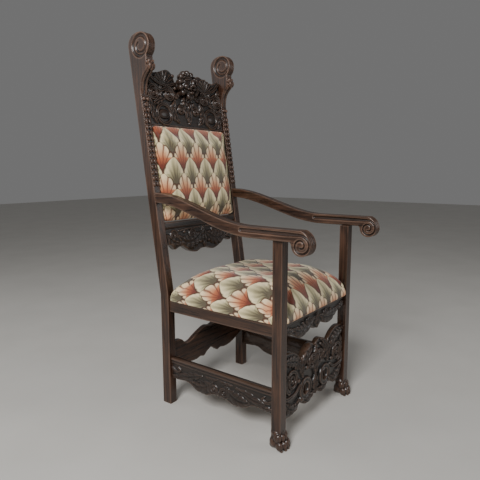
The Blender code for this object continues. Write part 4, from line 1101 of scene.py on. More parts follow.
@dataclass
class CarvedBack:
    """The crest with its grotesque mask, and the rail below the back pad."""

    crest_top: float = 1.347
    crest_bottom: float = 1.1145
    crest_relief: float = 0.012
    crest_thickness: float = 0.022
    crest_setback: float = 0.012
    rail_bottom: float = 0.597
    rail_top: float = 0.7335
    rail_relief: float = 0.008
    rail_thickness: float = 0.020
    rail_setback: float = 0.010
    mask_size: float = 0.073
    mask_height: float = 1.287
    mask_forward: float = 0.012

    def dress(self) -> None:
        """Builds both boards in place."""
        oak = OldOak(Grain.ACROSS, Surface.CARVED).made()
        board, mask = self.crest()
        mesh = gathered([wear_and_light_marks(board), wear_and_light_marks(mask, 0.0012)])
        set_down("carved_crest", mesh, BENCH.raked(self.crest_setback), oak, ["crest_panel"])
        set_down("carved_lower_rail", wear_and_light_marks(self.rail()), BENCH.raked(self.rail_setback), oak,
                 ["lower_back_rail"])

    def crest(self) -> tuple[bpy.types.Mesh, bpy.types.Mesh]:
        """The crest board and the mask on its middle.

        Returns:
            Both meshes.
        """
        bottom = BENCH.up_rake(self.crest_bottom)
        board = Board(BENCH.back_width / 2 - BENCH.post_width - BENCH.gap, bottom,
                      BENCH.up_rake(self.crest_top) - bottom, self.crest_relief, self.crest_thickness)
        upper = [(0, 0.88), (0.12, 0.84), (0.19, 0.74), (0.24, 0.73), (0.28, 0.86), (0.34, 0.95),
                 (0.43, 0.985), (0.54, 0.955), (0.72, 0.895), (0.88, 0.92), (1.0, 0.965)]
        outline = board.outline(upper, [(0, 0), (0.5, 0), (1, 0)])
        motifs = [
            board.shell((0.57, 0.70), 0.26, (12, 168), 8),
            board.strap([(0.26, 0.76), (0.50, 0.70), (0.76, 0.74), (0.98, 0.90)], (0.026, 0.026), 0.95),
            board.boss((0.33, 0.88), (0.040, 0.036), 1.2),
            board.boss((0.31, 0.67), (0.036, 0.036), 1.2),
            board.curl((0.85, 0.54), (0.125, 0.020), (80, -560), (0.036, 0.018)),
            board.boss((0.85, 0.54), (0.024, 0.024), 1.1),
            board.curl((0.48, 0.55), (0.115, 0.020), (100, 740), (0.036, 0.018)),
            board.boss((0.48, 0.55), (0.024, 0.024), 1.1),
            board.strap([(0.83, 0.67), (0.67, 0.60), (0.50, 0.67)], (0.032, 0.032)),
            board.boss((0.64, 0.20), (0.130, 0.085), 0.9),
            board.curl((0.64, 0.20), (0.165, 0.165), (0, 360), (0.030, 0.030), 0.9),
            board.leaf([(0.97, 0.48), (0.94, 0.32), (0.89, 0.16), (0.84, 0.05)], 0.080, 4),
            board.leaf([(0.34, 0.46), (0.39, 0.30), (0.36, 0.16), (0.28, 0.08)], 0.085, 4),
            board.leaf([(0.60, 0.46), (0.74, 0.42), (0.88, 0.34)], 0.060, 3),
            board.leaf([(0.03, 0.62), (0.06, 0.44), (0.03, 0.26), (0.0, 0.08)], 0.095, 4),
            board.curl((0.19, 0.30), (0.090, 0.018), (150, -360), (0.028, 0.018)),
            board.boss((0.0, 0.57), (0.050, 0.045), 1.35),
            board.boss((0.13, 0.42), (0.036, 0.050), 1.3),
            board.boss((0.0, 0.36), (0.034, 0.055), 1.3),
            board.leaf([(0.68, 0.50), (0.66, 0.62), (0.66, 0.70)], 0.040, 2, 0.8),
            board.leaf([(0.20, 0.62), (0.28, 0.52), (0.34, 0.60)], 0.045, 3, 0.9),
            board.curl((0.97, 0.72), (0.060, 0.012), (200, -160), (0.022, 0.014), 0.8),
        ]
        return board.carved([outline], motifs), self.mask(BENCH.up_rake(self.mask_height))

    def mask(self, level: float) -> bpy.types.Mesh:
        """A lion-like grotesque with a curly mane, about a middle at this height.

        Args:
            level: the height up the raked plane.

        Returns:
            The mesh.
        """
        unit = self.mask_size / 2
        face = [((0, -0.06, 0.05), (1.10, 0.80, 1.22)), ((0.40, -0.66, 0.46), (0.46, 0.26, 0.16)),
                ((0.40, -0.62, 0.14), (0.20, 0.18, 0.14)), ((0, -0.92, 0.02), (0.20, 0.34, 0.46)),
                ((0, -1.06, -0.26), (0.30, 0.26, 0.20)), ((0.26, -0.94, -0.34), (0.17, 0.22, 0.15)),
                ((0.62, -0.52, -0.22), (0.34, 0.34, 0.36)), ((0.36, -0.78, -0.58), (0.34, 0.22, 0.15)),
                ((0, -0.62, -0.96), (0.34, 0.36, 0.22)), ((0.30, -0.34, -1.28), (0.24, 0.28, 0.36)),
                ((0, -0.34, -1.42), (0.20, 0.26, 0.34)), ((0.98, -0.24, 0.62), (0.22, 0.24, 0.30))]
        shells = []
        for (x, y, z), radii in face:
            for side in ((1, -1) if x else (1,)):
                shells.append(lump((x * unit * side, y * unit, level + z * unit), [r * unit for r in radii]))
        for turn in range(-40, 221, 26):
            angle = math.radians(turn)
            middle = (1.34 * unit * math.cos(angle), -0.16 * unit, level + 1.40 * unit * math.sin(angle))
            shells.append(lump(middle, (0.33 * unit, 0.46 * unit, 0.33 * unit)))
            shells.append(lump((middle[0] * 0.86, middle[1] - 0.30 * unit,
                                level + (middle[2] - level) * 0.86),
                               (0.16 * unit, 0.22 * unit, 0.16 * unit)))
        mask = thinned(fused(shells, 0.0011, 2), 50000)
        mask.transform(Matrix.Translation((0.0, -self.mask_forward, 0.0)))
        return mask

    def rail(self) -> bpy.types.Mesh:
        """The lobed rail below the back pad.

        Returns:
            The mesh.
        """
        bottom = BENCH.up_rake(self.rail_bottom)
        board = Board(BENCH.back_width / 2 - BENCH.post_width - BENCH.gap, bottom,
                      BENCH.up_rake(self.rail_top) - bottom, self.rail_relief, self.rail_thickness)
        lower = [(0, 0.08), (0.10, 0.07), (0.24, 0.0), (0.40, 0.06), (0.52, 0.17), (0.60, 0.25),
                 (0.70, 0.22), (0.79, 0.18), (0.88, 0.32), (1.0, 0.36)]
        outline = board.outline([(0, 1), (0.5, 1), (1, 1)], lower)
        motifs = [
            board.moulding(0.80, 1.0, 0.5),
            board.leaf([(0.06, 0.56), (0.28, 0.36), (0.50, 0.34), (0.66, 0.52)], 0.24, 6),
            board.leaf([(0.96, 0.60), (0.82, 0.40), (0.68, 0.34)], 0.17, 3),
            board.curl((0.80, 0.60), (0.13, 0.03), (200, -320), (0.052, 0.030)),
            board.curl((0.30, 0.58), (0.13, 0.03), (340, 840), (0.052, 0.030)),
            board.boss((0.30, 0.58), (0.035, 0.035), 1.1),
            board.leaf([(0.0, 0.72), (0.0, 0.40), (0.0, 0.12)], 0.17, 3, 1.15),
            board.boss((0.12, 0.30), (0.055, 0.070), 1.2),
            board.boss((0.52, 0.66), (0.050, 0.050), 1.1),
            board.strap([(0.10, 0.74), (0.40, 0.74), (0.66, 0.70)], (0.022, 0.022), 0.8),
        ]
        return board.carved([outline], motifs)


@dataclass
class BackPosts:
    """The two raked back posts: volutes, fluted necks, beads and columns of coins."""

    volute_radius: float = 0.0485
    volute_reach: float = 0.0645
    neck_length: float = 0.1765
    groove_depth: float = 0.0060
    bead_radius: float = 0.0070
    bead_height: float = 1.207
    coin_bottom: float = 0.872
    coin_top: float = 1.180
    coin_pitch: float = 0.022
    voxel: float = 0.0014

    def centre(self) -> tuple[float, float]:
        """The middle of the volute, as (y, z) from the foot's front face."""
        z = BENCH.height - self.volute_radius
        return BENCH.post_depth + BENCH.lean(z) - self.volute_reach, z

    def outline(self) -> list[tuple[float, float]]:
        """The post's side outline, from its foot up the back, over the volute and down the front.

        Returns:
            Its (y, z) points.
        """
        y, z = self.centre()
        points = [(0.0, 0.0), (BENCH.post_depth, 0.0), (BENCH.post_depth, BENCH.kink)]
        square = 2 / 2.4
        for angle in np.radians(np.linspace(0, 90, 22)):
            points.append((y + math.cos(angle) ** square * self.volute_reach,
                           z + math.sin(angle) ** square * self.volute_radius))
        for angle in np.radians(np.linspace(96, 228, 30)):
            points.append((y + math.cos(angle) * self.volute_radius,
                           z + math.sin(angle) * self.volute_radius))
        neck = [(-0.034, 0.348), (-0.034, 0.375), (-0.029, 0.405), (-0.041, 0.440), (-0.038, 0.484),
                (-0.021, 0.565), (-0.006, 0.690), (-0.001, 0.830), (0.0005, 1.0)]
        hang = curve([(y + across, z - share * self.neck_length) for across, share in neck], 5)
        points += [tuple(point) for point in hang]
        points.append((0.0, BENCH.kink))
        return points

    def shaft(self) -> bpy.types.Mesh:
        """The post with its volute, leaf tips, ribs and beads, about its own middle line.

        Returns:
            The mesh.
        """
        y, z = self.centre()
        half = BENCH.post_width / 2
        shells = [slab(self.outline(), BENCH.post_width)]
        for x in (-0.0085, 0.0085):
            shells.append(lump((x, BENCH.lean(self.bead_height) - 0.001, self.bead_height),
                               (self.bead_radius, self.bead_radius, self.bead_radius)))
            ribs = [(-0.036, 0.47), (-0.032, 0.52), (-0.020, 0.585),
                    (-0.006, 0.70), (0.000, 0.83), (0.002, 1.0)]
            run = curve([(y + across, z - share * self.neck_length) for across, share in ribs], 6)
            radii = np.interp(np.linspace(0, 1, len(run)), (0, 0.12, 0.85, 1),
                              (0.0035, 0.0062, 0.0058, 0.004))
            shells.append(rope([(x, *point) for point in run], radii))
        for across, share, size, turn in ((-0.037, 0.362, 0.0088, 30), (-0.043, 0.452, 0.0095, 20)):
            for x in (-0.0095, 0.0, 0.0095):
                drop = 0.004 if x == 0 else 0.0
                shells.append(lump((x, y + across - 0.001, z - share * self.neck_length - drop),
                                   (0.0062, size * 0.75, size * 1.35), turn))
        swirl_z = self.bead_height - 0.020
        path = spiral((0.0, swirl_z), (0.0095, 0.002), (100, 620), 30)
        shells.append(rope([(px, BENCH.lean(pz) - 0.0005, pz) for px, pz in path], [0.0026] * len(path), 8))
        mesh = fused(shells, self.voxel, 2)
        spots, normals = read(mesh)
        path = np.vstack([spiral(self.centre(), (0.0390, 0.0350), (215, 530), 60),
                          spiral(self.centre(), (0.0348, 0.0140), (535, 770), 40)])
        distance, along = to_path(spots[:, 1], spots[:, 2], path)
        share = distance / np.interp(along, (0, 0.10, 0.6, 1), (0.0036, 0.0076, 0.0080, 0.0040))
        depth = self.groove_depth * np.clip(1 - share ** 2, 0, 1) ** 0.7
        depth *= np.interp(along, (0, 0.5, 1), (1.0, 0.9, 0.6))
        radius = np.hypot(spots[:, 1] - y, spots[:, 2] - z)
        depth *= np.clip((self.volute_radius * 1.05 - radius) / 0.003, 0, 1)
        face = np.abs(spots[:, 0]) > half - 0.0032
        spots[:, 0] -= np.where(face, np.sign(spots[:, 0]) * depth, 0)
        turned = (radius > self.volute_radius - 0.004) & ~face & (spots[:, 2] > z - 0.9 * self.volute_radius)
        ribs = 0.0009 * (1 - np.cos(6 * math.pi * (spots[:, 0] / half)))
        ribs *= np.clip((y + 0.02 - spots[:, 1]) / 0.03, 0, 1) * turned
        inward = np.column_stack([np.zeros(len(spots)), y - spots[:, 1], z - spots[:, 2]])
        inward /= np.maximum(radius, 1e-6)[:, None]
        spots += inward * ribs[:, None]
        write(mesh, spots)
        return thinned(wear_and_light_marks(mesh, 0.0007), 120000)

    def coins(self) -> bpy.types.Mesh:
        """Two columns of coins, repeated by geometry nodes and laid on the raked front face.

        Returns:
            The mesh.
        """
        tree = bpy.data.node_groups.new("columns_of_coins", "GeometryNodeTree")
        tree.is_modifier = True
        face = tree.interface
        face.new_socket("Geometry", in_out="OUTPUT", socket_type="NodeSocketGeometry")
        sizes = {"Count": "NodeSocketInt", "Pitch": "NodeSocketFloat", "Spread": "NodeSocketFloat",
                 "Coin": "NodeSocketVector", "Finish": "NodeSocketMaterial"}
        keys = {}
        for name, kind in sizes.items():
            keys[name] = face.new_socket(name, in_out="INPUT", socket_type=kind).identifier
        given = node(tree, "NodeGroupInput")
        step = node(tree, "ShaderNodeCombineXYZ", {"Z": given.outputs["Pitch"]}).outputs[0]
        coin = node(tree, "GeometryNodeMeshUVSphere",
                    {"Segments": 20, "Rings": 12, "Radius": 1.0}).outputs["Mesh"]
        coin = node(tree, "GeometryNodeTransform",
                    {"Geometry": coin, "Scale": given.outputs["Coin"]}).outputs[0]
        columns = []
        for way in (-0.5, 0.5):
            across = node(tree, "ShaderNodeMath", {0: given.outputs["Spread"], 1: way}, operation="MULTIPLY")
            start = node(tree, "ShaderNodeCombineXYZ", {"X": across.outputs[0]}).outputs[0]
            line = node(tree, "GeometryNodeMeshLine",
                        {"Count": given.outputs["Count"], "Start Location": start,
                                                       "Offset": step}, mode="OFFSET").outputs["Mesh"]
            columns.append(node(tree, "GeometryNodeInstanceOnPoints",
                                {"Points": line, "Instance": coin}).outputs[0])
        both = node(tree, "GeometryNodeJoinGeometry")
        for column in columns:
            tree.links.new(column, both.inputs[0])
        real = node(tree, "GeometryNodeRealizeInstances", {"Geometry": both.outputs[0]}).outputs[0]
        dressed = node(tree, "GeometryNodeSetMaterial",
                       {"Geometry": real, "Material": given.outputs["Finish"]})
        node(tree, "NodeGroupOutput", {0: dressed.outputs[0]})
        count = round((self.coin_top - self.coin_bottom) / self.coin_pitch)
        pitch = (self.coin_top - self.coin_bottom) / count
        carrier = bpy.data.objects.new("coins", bpy.data.meshes.new("coins"))
        bpy.context.collection.objects.link(carrier)
        modifier = carrier.modifiers.new("coins", "NODES")
        modifier.node_group = tree
        values = {"Count": count, "Pitch": pitch, "Spread": BENCH.post_width * 0.47,
                  "Coin": (0.0066, 0.0042, pitch * 0.44), "Finish": OldOak(Grain.UP).made()}
        for name, value in values.items():
            modifier[keys[name]] = value
        bpy.context.view_layer.update()
        made = carrier.evaluated_get(bpy.context.evaluated_depsgraph_get())
        mesh = bpy.data.meshes.new_from_object(made)
        bpy.data.objects.remove(carrier, do_unlink=True)
        tip = Matrix.Rotation(-BENCH.rake, 4, "X")
        low = self.coin_bottom + pitch / 2
        mesh.transform(Matrix.Translation((0.0, BENCH.lean(low) - 0.0004, low)) @ tip)
        bm = bmesh.new()
        bm.from_mesh(mesh)
        bmesh.ops.recalc_face_normals(bm, faces=bm.faces)
        bm.to_mesh(mesh)
        bm.free()
        return mesh

    def dress(self) -> None:
        """Builds both posts and their coins in place."""
        oak = OldOak(Grain.UP).made()
        shaft = self.shaft()
        coins = wear_and_light_marks(self.coins(), 0.0014, 6)
        reach = (BENCH.back_width - BENCH.post_width) / 2
        for side in Side:
            word = side.name.lower()
            mirror = Matrix.Scale(side.value, 4, (1, 0, 0))
            move = BENCH.upright() @ Matrix.Translation((side.value * reach, BENCH.seat_depth, 0)) @ mirror
            set_down("post_" + word, shaft.copy(), move, oak, ["back_post_" + word])
            set_down("post_coins_" + word, coins.copy(), move, oak)


@dataclass
class Arms:
    """The two moulded arms, spreading forwards to their scrolls."""

    top: float = 0.755
    rise: float = 0.096
    height: float = 0.0385
    width: float = 0.040
    spread: float = 0.566
    rise_start: float = 0.130
    scroll_radius: float = 0.0335
    overhang: float = 0.075
    groove_depth: float = 0.0058
    channel_end: float = 0.158
    channel_width: float = 0.0135
    voxel: float = 0.0012

    def centre(self) -> tuple[float, float]:
        """The middle of the scroll, as (y, z)."""
        return -self.overhang, self.top - self.height - 0.008

    def level(self, y: float) -> float:
        """The height of the arm's top at this depth: level in front, then an easy rise to the post.

        Args:
            y: the depth.

        Returns:
            The height.
        """
        end = BENCH.seat_depth + BENCH.lean(self.top + self.rise)
        share = min(1.0, max(0.0, (y - self.rise_start) / (end - self.rise_start)))
        return self.top + self.rise * share * share * (3 - 2 * share)

    def outline(self) -> list[tuple[float, float]]:
        """The arm's side outline: its top from the post forwards, round the scroll, and back below.

        Returns:
            Its (y, z) points.
        """
        cy, cz = self.centre()
        high = self.top + self.rise
        back = BENCH.seat_depth - BENCH.gap
        points = [(float(y), self.level(y))
                  for y in np.linspace(back + BENCH.lean(high), self.rise_start, 40)]
        points.append((cy + self.scroll_radius * 0.5, self.top))
        for degrees in range(90, 364, 6):
            extra = max(0.0, 1 - (degrees - 90) / 90)
            radius = self.scroll_radius + (self.top - cz - self.scroll_radius) * extra ** 2
            angle = math.radians(degrees)
            points.append((cy + radius * math.cos(angle), cz + radius * math.sin(angle)))
        points.append((cy + self.scroll_radius + 0.006, self.top - self.height))
        low = high - self.height
        for y in np.linspace(self.rise_start, back + BENCH.lean(low), 40):
            points.append((float(y), self.level(y) - self.height))
        return points

    def form(self) -> bpy.types.Mesh:
        """The arm about its own middle plane, before it spreads outward.

        Returns:
            The mesh.
        """
        cy, cz = self.centre()
        half = self.width / 2
        mesh = fused([slab(self.outline(), self.width)], self.voxel, 3)
        spots, _ = read(mesh)
        y, z = spots[:, 1], spots[:, 2]
        radius = self.top - self.height * 0.36 - cz
        turns = spiral((cy, cz), (radius, self.scroll_radius * 0.22), (90, 640), 80)
        start = [(self.channel_end, self.top - self.height * 0.36),
                 (cy + 0.02, self.top - self.height * 0.36)]
        distance, along = to_path(y, z, np.vstack([start, turns]))
        wide = np.interp(along, (0, 0.42, 0.62, 1), (self.channel_width / 2, self.channel_width / 2,
                                                     0.0034, 0.0026))
        share = np.clip(distance / wide, 0, 1)
        depth = self.groove_depth * np.sqrt(np.clip(1 - share ** 2, 0, 1))
        level = np.array([self.level(value) for value in y])
        under = level - self.height - z
        roll = np.clip(1 - np.abs(under) / 0.006, 0, 1)
        depth = np.maximum(depth, 0.0022 * roll ** 2 * (y > cy + self.scroll_radius))
        eye = np.hypot(y - cy, z - cz)
        face = np.abs(spots[:, 0]) > half - 0.0030
        spots[:, 0] -= np.where(face, np.sign(spots[:, 0]) * depth, 0)
        crown = np.where(~face & (z > level - self.height * 0.5) & (eye > self.scroll_radius * 0.8), 1.0, 0.0)
        bow = 0.0022 * (spots[:, 0] / half) ** 2
        fade = np.clip((y - (cy + 0.02)) / 0.03, 0, 1)
        spots[:, 2] -= crown * bow * fade
        rolled = ~face & (y < cy + 0.035) & (eye > self.scroll_radius * 0.80)
        ribs = 0.0011 * (1 - np.cos(8 * math.pi * (spots[:, 0] + half) / (2 * half)))
        ribs *= rolled * np.clip((cy + 0.030 - y) / 0.025, 0, 1)
        spots[:, 1] += (cy - y) / np.maximum(eye, 1e-6) * ribs
        spots[:, 2] += (cz - z) / np.maximum(eye, 1e-6) * ribs
        write(mesh, spots)
        return thinned(wear_and_light_marks(mesh, 0.0008, 18), 100000)

    def dress(self) -> None:
        """Builds both arms in place."""
        oak = OldOak(Grain.ALONG).made()
        form = self.form()
        back = BENCH.seat_depth + BENCH.lean(self.top)
        front_x = (self.spread - self.width) / 2
        back_x = (BENCH.back_width - BENCH.post_width) / 2
        for side in Side:
            word = side.name.lower()
            mesh = form.copy()
            spots, _ = read(mesh)
            share = np.clip((back - spots[:, 1]) / back, 0, 1)
            narrow = BENCH.post_width / self.width
            spots[:, 0] = side.value * (back_x + (front_x - back_x) * share) + spots[:, 0] * (
                narrow + (1 - narrow) * share)
            write(mesh, spots)
            set_down("arm_moulded_" + word, mesh, BENCH.upright(), oak, ["arm_" + word])


@dataclass
class FrontLegs:
    """The two square front legs, each ending in a lion's paw."""

    arm_underside: float = 0.7165
    paw_height: float = 0.070
    paw_width: float = 0.055
    voxel: float = 0.0012

    def leg(self) -> bpy.types.Mesh:
        """A leg about its own middle line.

        Returns:
            The mesh.
        """
        half = BENCH.leg / 2
        w, h = self.paw_width, self.paw_height
        shells = [block((-half, -half, h * 0.55), (half, half, self.arm_underside - BENCH.gap)),
                  lump((0, 0.10 * w, 0.30 * h), (0.50 * w, 0.46 * w, 0.33 * h)),
                  lump((0, 0.04 * w, 0.78 * h), (0.44 * w, 0.44 * w, 0.26 * h)),
                  lump((0, 0.24 * w, 0.12 * h), (0.40 * w, 0.34 * w, 0.14 * h))]
        for x, y in ((-0.38, -0.34), (-0.13, -0.46), (0.13, -0.46), (0.38, -0.34)):
            shells.append(lump((x * w, (y + 0.18) * w, 0.60 * h), (0.165 * w, 0.27 * w, 0.22 * h), 14))
            shells.append(lump((x * 1.10 * w, (y + 0.02) * w, 0.24 * h),
                               (0.165 * w, 0.25 * w, 0.215 * h), -6))
            shells.append(lump((x * 1.16 * w, (y - 0.14) * w, 0.07 * h), (0.07 * w, 0.11 * w, 0.09 * h), -30))
        mesh = fused(shells, self.voxel, 2)
        spots, _ = read(mesh)
        spots[:, 2] = np.maximum(spots[:, 2], 0.0)
        write(mesh, spots)
        return thinned(wear_and_light_marks(mesh, 0.0008), 70000)

    def dress(self) -> None:
        """Builds both legs in place."""
        oak = OldOak(Grain.UP).made()
        leg = self.leg()
        reach = (BENCH.front_width - BENCH.leg) / 2
        for side in Side:
            word = side.name.lower()
            move = BENCH.upright() @ Matrix.Translation((side.value * reach, BENCH.leg / 2, 0))
            set_down("leg_with_paw_" + word, leg.copy(), move, oak, ["front_leg_" + word])


@dataclass
class SeatFrame:
    """The seat's rails, with the carved apron in front."""

    apron_height: float = 0.080
    apron_thickness: float = 0.018
    apron_relief: float = 0.008
    voxel: float = 0.0018
    plain: dict[str, Grain] = field(default_factory=lambda: {
        "seat_rail_left": Grain.ALONG, "seat_rail_right": Grain.ALONG, "seat_rail_back": Grain.ACROSS,
        "back_stretcher": Grain.ACROSS})

    def apron(self) -> bpy.types.Mesh:
        """The front rail with its carved apron.

        Returns:
            The mesh.
        """
        board = Board(BENCH.front_width / 2 - BENCH.leg - BENCH.gap, BENCH.rail_top - self.apron_height,
                      self.apron_height, self.apron_relief, self.apron_thickness)
        lower = [(0, 0.08), (0.09, 0.12), (0.19, 0.26), (0.27, 0.12), (0.42, 0.0), (0.54, 0.02),
                 (0.66, 0.22), (0.80, 0.36), (1.0, 0.46)]
        outline = board.outline([(0, 1), (0.5, 1), (1, 1)], lower)
        motifs = [
            board.moulding(0.84, 1.0, 0.45),
            board.leaf([(0.10, 0.62), (0.30, 0.40), (0.52, 0.34), (0.74, 0.58)], 0.30, 6),
            board.leaf([(0.96, 0.70), (0.86, 0.58), (0.74, 0.56)], 0.18, 3),
            board.curl((0.30, 0.62), (0.19, 0.04), (200, -300), (0.078, 0.045)),
            board.leaf([(0.0, 0.84), (0.0, 0.45), (0.0, 0.14)], 0.24, 3, 1.2),
            board.boss((0.46, 0.66), (0.085, 0.085), 1.1),
            board.curl((0.90, 0.66), (0.10, 0.03), (180, -200), (0.05, 0.03), 0.8),
        ]
        return board.carved([outline], motifs)

    def dress(self) -> None:
        """Builds the apron and softens the plain boards."""
        setback = BENCH.rail_setback + self.apron_relief
        move = BENCH.upright() @ Matrix.Translation((0, setback, 0))
        oak = OldOak(Grain.ACROSS, Surface.CARVED).made()
        set_down("carved_apron", wear_and_light_marks(self.apron()), move, oak, ["seat_rail_front"])
        for name, grain in self.plain.items():
            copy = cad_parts[name].data.copy()
            bm = bmesh.new()
            bm.from_mesh(copy)
            bmesh.ops.remove_doubles(bm, verts=bm.verts, dist=1e-5)
            bm.to_mesh(copy)
            bm.free()
            mesh = wear_and_light_marks(fused([copy], self.voxel, 2), 0.0009)
            set_down("plain_" + name, mesh, Matrix.Identity(4), OldOak(grain).made(), [name])


@dataclass
class Stretchers:
    """The deep carved front stretcher and the two side stretchers."""

    front_bottom: float = 0.072
    front_height: float = 0.246
    front_thickness: float = 0.018
    front_relief: float = 0.011
    side_bottom: float = 0.088
    side_height: float = 0.107
    side_thickness: float = 0.018
    side_relief: float = 0.006

    def front(self) -> bpy.types.Mesh:
        """The front stretcher, pierced inside its two rings.

        Returns:
            The mesh.
        """
        board = Board(BENCH.front_width / 2 - BENCH.leg - BENCH.gap, self.front_bottom, self.front_height,
                      self.front_relief, self.front_thickness)
        upper = [(0, 0.86), (0.07, 0.93), (0.17, 0.95), (0.28, 0.92), (0.38, 0.86), (0.45, 0.80),
                 (0.52, 0.87), (0.66, 0.95), (0.82, 0.985), (1.0, 0.96)]
        lower = [(0, 0.09), (0.10, 0.10), (0.22, 0.05), (0.33, 0.05), (0.44, 0.11), (0.54, 0.12),
                 (0.64, 0.07), (0.74, 0.02), (0.86, 0.03), (1.0, 0.05)]
        outline = board.outline(upper, lower)
        opening = board.oval((0.33, 0.31), (0.055, 0.085))
        motifs = [
            board.curl((0.33, 0.31), (0.130, 0.130), (0, 360), (0.048, 0.048)),
            board.curl((0.75, 0.56), (0.170, 0.020), (-60, 680), (0.036, 0.018)),
            board.boss((0.75, 0.56), (0.026, 0.026), 1.2),
            board.leaf([(0.98, 0.90), (0.80, 0.86), (0.62, 0.80), (0.50, 0.66)], 0.095, 6),
            board.leaf([(0.20, 0.92), (0.36, 0.80), (0.44, 0.66), (0.42, 0.52)], 0.085, 5),
            board.leaf([(0.96, 0.30), (0.82, 0.16), (0.66, 0.12), (0.54, 0.20)], 0.085, 5),
            board.leaf([(0.05, 0.16), (0.16, 0.12), (0.30, 0.10), (0.42, 0.17)], 0.060, 4),
            board.strap([(0.98, 0.46), (0.96, 0.36), (0.84, 0.33), (0.66, 0.34), (0.52, 0.42)],
                        (0.036, 0.026)),
            board.curl((0.13, 0.66), (0.110, 0.020), (120, -460), (0.032, 0.018)),
            board.boss((0.13, 0.66), (0.022, 0.022), 1.1),
            board.leaf([(0.0, 0.86), (0.0, 0.64), (0.0, 0.44)], 0.100, 4, 1.2),
            board.leaf([(0.0, 0.42), (0.02, 0.28), (0.0, 0.12)], 0.070, 3, 1.1),
            board.boss((0.46, 0.18), (0.050, 0.050), 1.25),
            board.boss((0.56, 0.50), (0.036, 0.036), 1.2),
            board.boss((0.30, 0.62), (0.036, 0.036), 1.2),
            board.leaf([(0.93, 0.78), (0.95, 0.66), (0.97, 0.54)], 0.040, 3, 0.9),
            board.strap([(0.16, 0.86), (0.30, 0.74), (0.24, 0.62)], (0.022, 0.016), 0.9),
            board.curl((0.60, 0.72), (0.055, 0.012), (0, 400), (0.020, 0.012), 0.9),
        ]
        return board.carved([outline, opening, opening[::-1] * (-1, 1)], motifs)

    def side(self) -> bpy.types.Mesh:
        """A side stretcher: a moulding over two leaves that meet in the middle.

        Returns:
            The mesh.
        """
        board = Board((BENCH.seat_depth - BENCH.leg) / 2 - BENCH.gap, self.side_bottom, self.side_height,
                      self.side_relief, self.side_thickness)
        lower = [(0, 0.09), (0.06, 0.17), (0.13, 0.12), (0.27, 0.0), (0.42, 0.03), (0.52, 0.10),
                 (0.60, 0.20), (0.70, 0.24), (0.84, 0.21), (1.0, 0.20)]
        outline = board.outline([(0, 1), (0.5, 1), (1, 1)], lower)
        motifs = [
            board.moulding(0.90, 1.0, 1.0),
            board.moulding(0.80, 0.885, 0.75),
            board.leaf([(0.14, 0.56), (0.24, 0.36), (0.40, 0.24), (0.56, 0.30)], 0.25, 4),
            board.leaf([(0.34, 0.66), (0.50, 0.56), (0.66, 0.46), (0.84, 0.44)], 0.16, 4, 0.9),
            board.curl((0.10, 0.36), (0.21, 0.03), (30, -500), (0.080, 0.045)),
            board.boss((0.10, 0.36), (0.045, 0.045), 1.3),
            board.strap([(0.98, 0.62), (0.88, 0.52), (0.80, 0.60), (0.84, 0.70)], (0.055, 0.030)),
            board.leaf([(0.74, 0.36), (0.86, 0.32), (0.98, 0.34)], 0.10, 3, 0.9),
            board.boss((0.0, 0.24), (0.06, 0.09), 1.1),
            board.leaf([(0.02, 0.74), (0.12, 0.68), (0.26, 0.70)], 0.075, 3, 0.8),
        ]
        return board.carved([outline], motifs)

    def dress(self) -> None:
        """Builds the three stretchers in place."""
        move = BENCH.upright() @ Matrix.Translation((0, BENCH.rail_setback + self.front_relief, 0))
        oak = OldOak(Grain.ACROSS, Surface.CARVED).made()
        set_down("carved_front_stretcher", wear_and_light_marks(self.front()), move, oak, ["front_stretcher"])
        oak = OldOak(Grain.ALONG, Surface.CARVED).made()
        mesh = wear_and_light_marks(self.side(), 0.0012)
        outer = min(BENCH.front_width, BENCH.back_width) / 2 - BENCH.rail_setback - self.side_relief
        middle = (BENCH.seat_depth + BENCH.leg) / 2
        for side in Side:
            turn = Matrix.Rotation(side.value * math.pi / 2, 4, "Z")
            move = BENCH.upright() @ Matrix.Translation((side.value * outer, middle, 0)) @ turn
            word = side.name.lower()
            set_down("carved_side_stretcher_" + word, mesh.copy(), move, oak,
                     ["side_stretcher_" + word])


